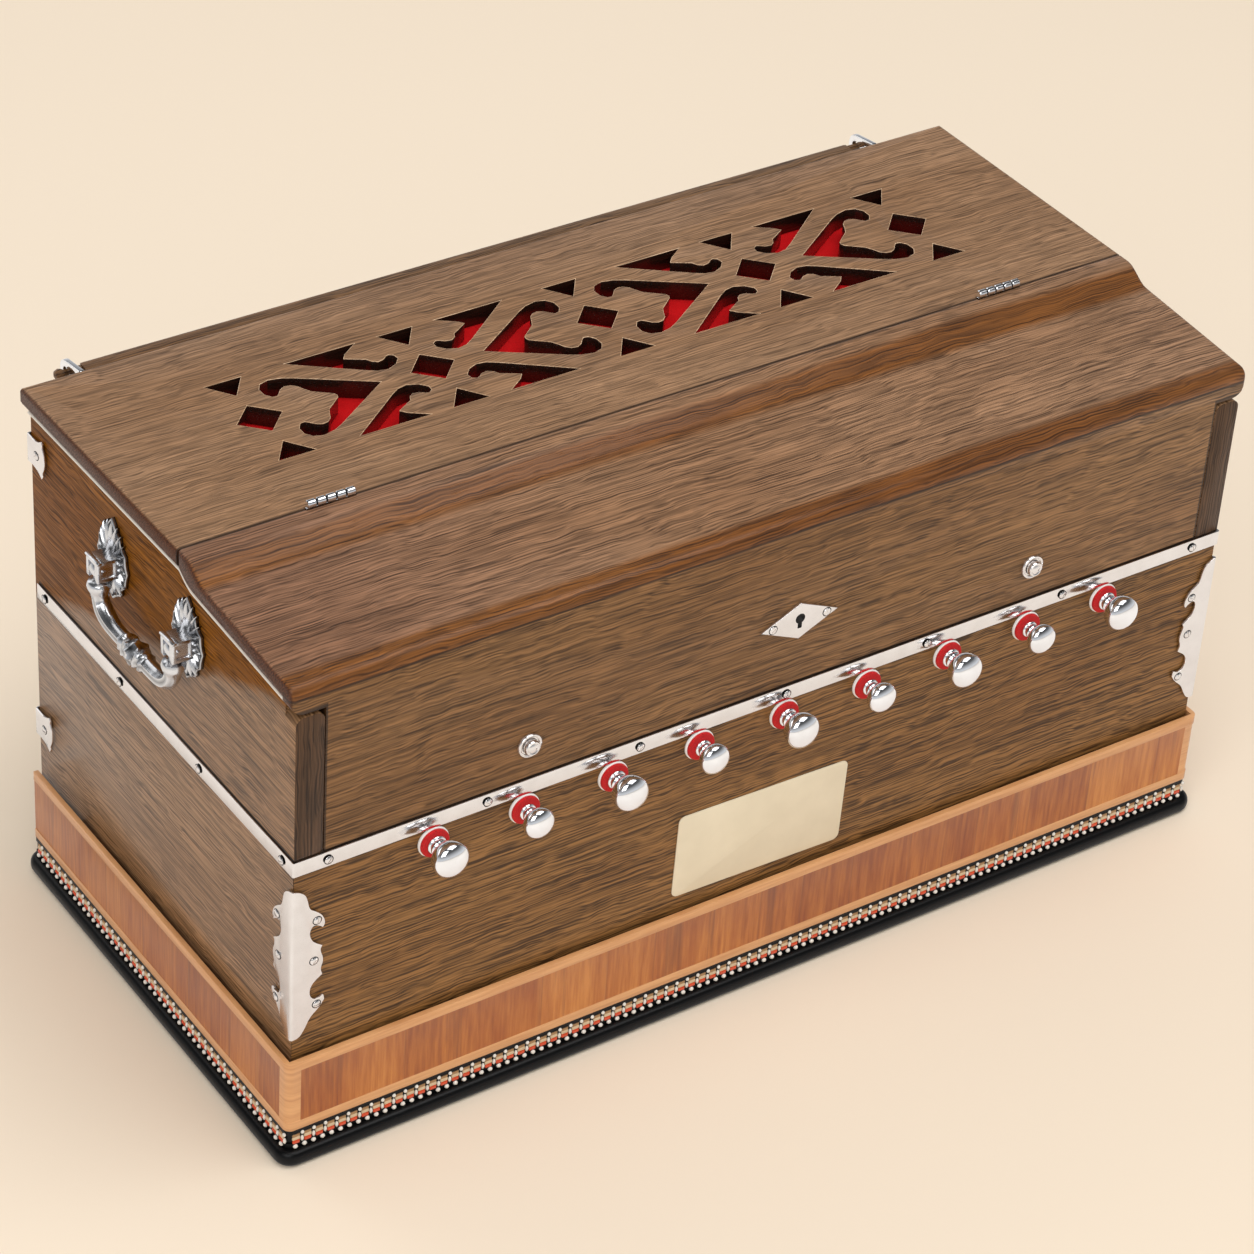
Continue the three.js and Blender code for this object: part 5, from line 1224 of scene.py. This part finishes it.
def build_mount():
    """A cast mount at the origin: plate in X and Y, standing out along +Z, the pivot above X = Y = 0."""
    width, height = 33 * MM, 51 * MM
    right = [(u * width / 2, (v - 0.5) * height) for u, v in ROSETTE_EDGE]
    left = [(-u, v) for u, v in reversed(right[1:-1])]
    count = len(ROSETTE_EDGE)
    sharp = list(ROSETTE_TIPS) + [2 * (count - 1) - i for i in ROSETTE_TIPS if 0 < i < count - 1]
    plate = sawn("rosette", rounded_outline(right + left, sharp, 2), 1.7 * MM)
    select_top(plate, 1.7 * MM)
    bpy.ops.mesh.inset(thickness=0.5 * MM, depth=0.5 * MM)
    bpy.ops.mesh.inset(thickness=0.6 * MM, depth=0.0)
    bpy.ops.mesh.inset(thickness=0.5 * MM, depth=-0.9 * MM)
    done(plate)
    leaves = []
    for angle, length, leaf_width in (
        (0, 21, 4.2), (13, 20, 3.6), (26, 18.5, 3.4), (40, 16, 3.4), (57, 13.5, 3.4), (76, 11.5, 3.4),
        (97, 11.5, 3.4), (118, 12.5, 3.4), (136, 15, 3.4), (152, 18, 3.4), (167, 20, 3.6), (180, 21, 4.2),
    ):
        for s in ((1,) if angle in (0, 180) else (1, -1)):
            leaves.append(relief_leaf("leaf", length * MM, leaf_width * MM, 3.2 * MM,
                                      math.radians(s * angle), 2.6 * MM))
    for leaf in leaves:
        leaf.data.transform(Matrix.Translation((0, 0, 0.9 * MM)))
    for piece in [plate, *leaves]:
        piece.data.transform(Matrix.Translation((*POST_TO_ROSETTE, 0)))
    post = board("post", (-6.5 * MM, -5.6 * MM, 0), (6.5 * MM, 7.2 * MM, 15.4 * MM), 0.8 * MM, 2)
    slot = board("slot", (-3.4 * MM, -9 * MM, 6.3 * MM), (3.4 * MM, 5.2 * MM, 20 * MM), 0.5 * MM, 1)
    drilled(post, slot)
    for s in (-1, 1):
        side = s * 6.5 * MM
        panel = board("panel", (side - 1.3 * MM, -3.6 * MM, 5.0 * MM), (side + 1.3 * MM, 5.2 * MM, 13.2 * MM),
                      0.3 * MM, 1)
        drilled(post, panel)
    pin = placed(turned("pin", [(1.5 * MM, -6.3 * MM), (1.5 * MM, 6.3 * MM)], 12), "x", (0, 0, PIVOT_OUT))
    lip = board("lip", (-7.0 * MM, 6.2 * MM, 12.6 * MM), (7.0 * MM, 7.9 * MM, 15.9 * MM), 0.7 * MM, 2)
    mount = joined("mount", [plate, *leaves, post, pin, lip])
    return mark_hollows(smooth(mount, 40), 4.2 * MM)


def select_top(piece, height):
    edit(piece)
    bpy.ops.mesh.select_mode(type="FACE")
    mesh = bmesh.from_edit_mesh(piece.data)
    for face in mesh.faces:
        face.select = face.normal.z > 0.9 and abs(face.calc_center_median().z - height) < 1e-5
    bmesh.update_edit_mesh(piece.data)


def mark_hollows(piece, depth):
    """Writes how deep each point lies below the relief, for the dark in a casting's hollows."""
    layer = piece.data.attributes.new("hollow", "FLOAT", "POINT")
    for vertex, value in zip(piece.data.vertices, layer.data):
        value.value = min(max(1 - vertex.co.z / depth, 0), 1) ** 1.5
    return piece


def bail_path(half, drop, steps=130):
    """Down one leg, across and up the other, in X and Z."""
    corners = [Vector((-half, 0)), Vector((-half, -0.36 * drop)), Vector((-0.93 * half, -0.74 * drop)),
               Vector((-0.68 * half, -0.96 * drop)), Vector((-0.3 * half, -drop)), Vector((0, -drop))]
    corners += [Vector((-p.x, p.y)) for p in reversed(corners[:-1])]
    padded = [corners[0] * 2 - corners[1], *corners, corners[-1] * 2 - corners[-2]]
    path = []
    for i in range(1, len(padded) - 2):
        a, b, c, d = padded[i - 1:i + 3]
        for step in range(steps // (len(corners) - 1)):
            t = step / (steps // (len(corners) - 1))
            path.append(0.5 * (2 * b + (c - a) * t + (2 * a - 5 * b + 4 * c - d) * t * t
                               + (3 * b - a - 3 * c + d) * t ** 3))
    path.append(corners[-1])
    return path


def bail_radius(from_pivot, from_middle):
    """Neck in the post, flared leaf end, slender leg, ringed collar in the middle."""
    if from_pivot < 7.4 * MM:
        return 2.8 * MM
    flare = math.exp(-((from_pivot - 10.5 * MM) / (4.2 * MM)) ** 2)
    leg = 4.2 * MM + 2.5 * MM * flare + 0.5 * MM * math.exp(-((from_pivot - 27 * MM) / (7 * MM)) ** 2)
    rings = sum(math.exp(-((from_middle - ring) / (1.1 * MM)) ** 2) for ring in (6.0 * MM, 10.5 * MM))
    bulb = 2.8 * MM * math.exp(-(from_middle / (4.5 * MM)) ** 2)
    return leg + 1.8 * MM * rings + bulb


def build_bail():
    """The drop handle in X and Z, its pivot line along X through the origin."""
    half, drop = 40 * MM, 28.5 * MM
    path = bail_path(half, drop)
    lengths = [0.0]
    for a, b in zip(path, path[1:]):
        lengths.append(lengths[-1] + (b - a).length)
    total = lengths[-1]
    radii = [bail_radius(min(run, total - run), abs(run - total / 2)) for run in lengths]
    bar = swept("bail_bar", [(p.x, 0, p.y) for p in path], radii, 24)
    shade = {}
    for vertex in bar.data.vertices:
        flat = Vector((vertex.co.x, vertex.co.z))
        i = min(range(len(path)), key=lambda k: (path[k] - flat).length_squared)
        tangent = (path[min(i + 1, len(path) - 1)] - path[max(i - 1, 0)]).normalized()
        side = Vector((-tangent.y, tangent.x))
        off = flat - path[i]
        angle = math.atan2(vertex.co.y, off.dot(side))
        end, middle = min(lengths[i], total - lengths[i]), abs(lengths[i] - total / 2)
        ends = math.exp(-((end - 11 * MM) / (6 * MM)) ** 2) if end > 7.4 * MM else 0.0
        collar = math.exp(-(middle / (9 * MM)) ** 4)
        groove = ends * math.cos(7 * angle) + collar * math.cos(5 * angle + 500 * (lengths[i] - total / 2))
        line = 0.75 * (1 - ends) * (1 - collar) * math.cos(6 * angle)
        push = 0.75 * MM * groove + 0.5 * MM * line if end > 7.4 * MM else 0.0
        out = Vector((off.x, vertex.co.y, off.y))
        if out.length > 1e-6:
            vertex.co += out.normalized() * push
        shade[vertex.index] = min(max(-0.9 * (groove + line), 0.0), 1.0)
    layer = bar.data.attributes.new("hollow", "FLOAT", "POINT")
    for index, value in shade.items():
        layer.data[index].value = value
    eyes = []
    for s in (-1, 1):
        eye = turned("eye", [
            (1.8 * MM, -3.2 * MM), (4.0 * MM, -3.2 * MM), (4.7 * MM, -2.5 * MM), (4.7 * MM, 2.5 * MM),
            (4.0 * MM, 3.2 * MM), (1.8 * MM, 3.2 * MM)], 28)
        eyes.append(placed(eye, "x", (s * half, 0, 0)))
    return smooth(joined("bail", [bar, *eyes]), 50)


def build_handles():
    mount, bail = build_mount(), build_bail()
    for side in SIDES:
        s = TOWARD[side]
        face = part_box(f"handle_mount_{side}_front")[0 if s > 0 else 1].x
        low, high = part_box(f"handle_bail_{side}")
        pivot_z = high.z - 4.7 * MM
        middle = (low.y + high.y) / 2
        turn = Matrix(((0, 0, s, 0), (1, 0, 0, 0), (0, 1, 0, 0), (0, 0, 0, 1)))
        for end, shift in (("front", -40 * MM), ("rear", 40 * MM)):
            node = f"handle_mount_{side}_{end}"
            piece = copied(mount, node + "_cast", Matrix.Translation((face, middle + shift, pivot_z)) @ turn)
            hold(piece, "case", CAST_SILVER, "antique_silver", node)
        turn = Matrix(((0, s, 0, 0), (1, 0, 0, 0), (0, 0, 1, 0), (0, 0, 0, 1)))
        place = Matrix.Translation((face + s * PIVOT_OUT, middle, pivot_z))
        piece = copied(bail, f"handle_bail_{side}_cast", place @ turn)
        hold(piece, f"bail_{side}", CAST_SILVER, "antique_silver", f"handle_bail_{side}")
    bpy.data.objects.remove(mount)
    bpy.data.objects.remove(bail)


# Beaded strip


TILE_PITCH = 7.0 * MM
PEARL_PITCH = 5.5 * MM


def bead(name, half_size, place):
    """A small bead with flattened ends, a few dozen faces."""
    bpy.ops.object.select_all(action="DESELECT")
    bpy.ops.mesh.primitive_uv_sphere_add(segments=8, ring_count=6, radius=1, location=place)
    piece = named(name)
    piece.scale = half_size
    settle(piece)
    edit(piece)
    bpy.ops.mesh.select_all(action="SELECT")
    bpy.ops.transform.tosphere(value=0.15)
    return smooth(done(piece), 80)


def repeated(piece, count, pitch):
    return apply_modifier(piece, "ARRAY", count=count, use_relative_offset=False,
                          use_constant_offset=True, constant_offset_displace=(pitch, 0, 0))


def build_beads():
    """Tan and coral tiles between pairs of white beads, over a row of pearls, on a black bed."""
    hold(refined("beaded_inlay", "bead_bed"), "case", BLACK_LACQUER, "black_lacquer", "beaded_inlay")
    low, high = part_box("beaded_inlay")
    between = TILE_PITCH / 2
    tiles = []
    for name, half, out, foot, top, edge, finish in (
        ("tan_tile", 2.2, 0.7, 7.3, 9.9, 0.35, TAN_TILE),
        ("cream_tile", 2.3, 0.9, 5.1, 7.2, 0.4, CREAM_TILE),
        ("coral_tile", 2.2, 1.1, 2.6, 5.0, 0.55, CORAL_BEAD),
    ):
        tile = board(name, (-half * MM, -out * MM, foot * MM), (half * MM, 0.5 * MM, top * MM), edge * MM, 1)
        tiles.append(finished_in(smooth(tile), finish))
    oval = bead("oval", (0.95 * MM, 0.9 * MM, 2.1 * MM), (between, -0.5 * MM, 5.0 * MM))
    ball = bead("round", (1.15 * MM, 1.0 * MM, 1.2 * MM), (between, -0.8 * MM, 9.4 * MM))
    cell = joined("bead_cell", [*tiles, finished_in(oval, PEARL), finished_in(ball, PEARL)])
    pearl = finished_in(bead("pearl", (1.5 * MM, 1.3 * MM, 1.3 * MM), (0, -0.9 * MM, 1.2 * MM)), PEARL)
    face = low.y + 0.7 * MM
    side_face = low.x + 0.7 * MM
    half_width = high.x - 2.4 * MM
    depth = high.y - low.y - 3.4 * MM
    strips = []
    for name, pattern, pitch in (("tiles", cell, TILE_PITCH), ("pearls", pearl, PEARL_PITCH)):
        front_count = round(2 * half_width / pitch)
        side_count = round(depth / pitch)
        front = repeated(copied(pattern, f"{name}_front"), front_count, 2 * half_width / front_count)
        start = -half_width + half_width / front_count
        front.data.transform(Matrix.Translation((start, face, low.z)))
        strips.append(front)
        for s in (-1, 1):
            side = repeated(copied(pattern, f"{name}_{s}"), side_count, depth / side_count)
            turn = Matrix.Rotation(math.radians(90 * s), 4, "Z")
            first = low.y + 2.6 * MM if s > 0 else low.y + 2.6 * MM + depth
            side.data.transform(Matrix.Translation((-s * side_face, first, low.z)) @ turn
                                @ Matrix.Translation((0.5 * depth / side_count, 0, 0)))
            strips.append(side)
    bpy.data.objects.remove(cell)
    bpy.data.objects.remove(pearl)
    hold(joined("bead_rows", strips), "case", None, "bead_strip", "beaded_inlay")


def build_line_bead():
    """A thin pale bead on each side board, right under the lid and the cover; its pale finish is a painted
    highlight along the lid's lower edge.
    """
    low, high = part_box("side_left")
    outer = [v.co for v in nodes["side_left"].data.vertices if v.co.x < low.x + 0.1 * MM]
    rim = {(round(v.y, 5), round(v.z, 5)) for v in outer if v.z > high.z - 16 * MM and v.y > low.y + 7 * MM}
    rear = sorted(rim, key=lambda place: -place[0])
    points = [(low.x - 0.9 * MM, y, z - 1.8 * MM) for y, z in rear]
    for side in SIDES:
        s = TOWARD[side]
        path = [(-s * x, y, z) for x, y, z in points]
        piece = swept(f"line_highlight_bead_{side}", path, [1.0 * MM] * len(path), 8)
        hold(smooth(piece, 60), "case", LINE_HIGHLIGHT_BEAD, "white_key")


place_camera()
lay_floor()
light_studio()
build_base()
build_boards()
build_lid()
build_cover()
build_cloth()
build_bellows()
build_front_board()
build_stops()
build_brackets()
build_plates()
build_screws()
build_escutcheon()
build_studs()
build_plate()
build_keys()
build_handles()
build_beads()
build_line_bead()

scene = bpy.context.scene
scene.view_settings.view_transform = "Standard"

bpy.context.view_layer.update()
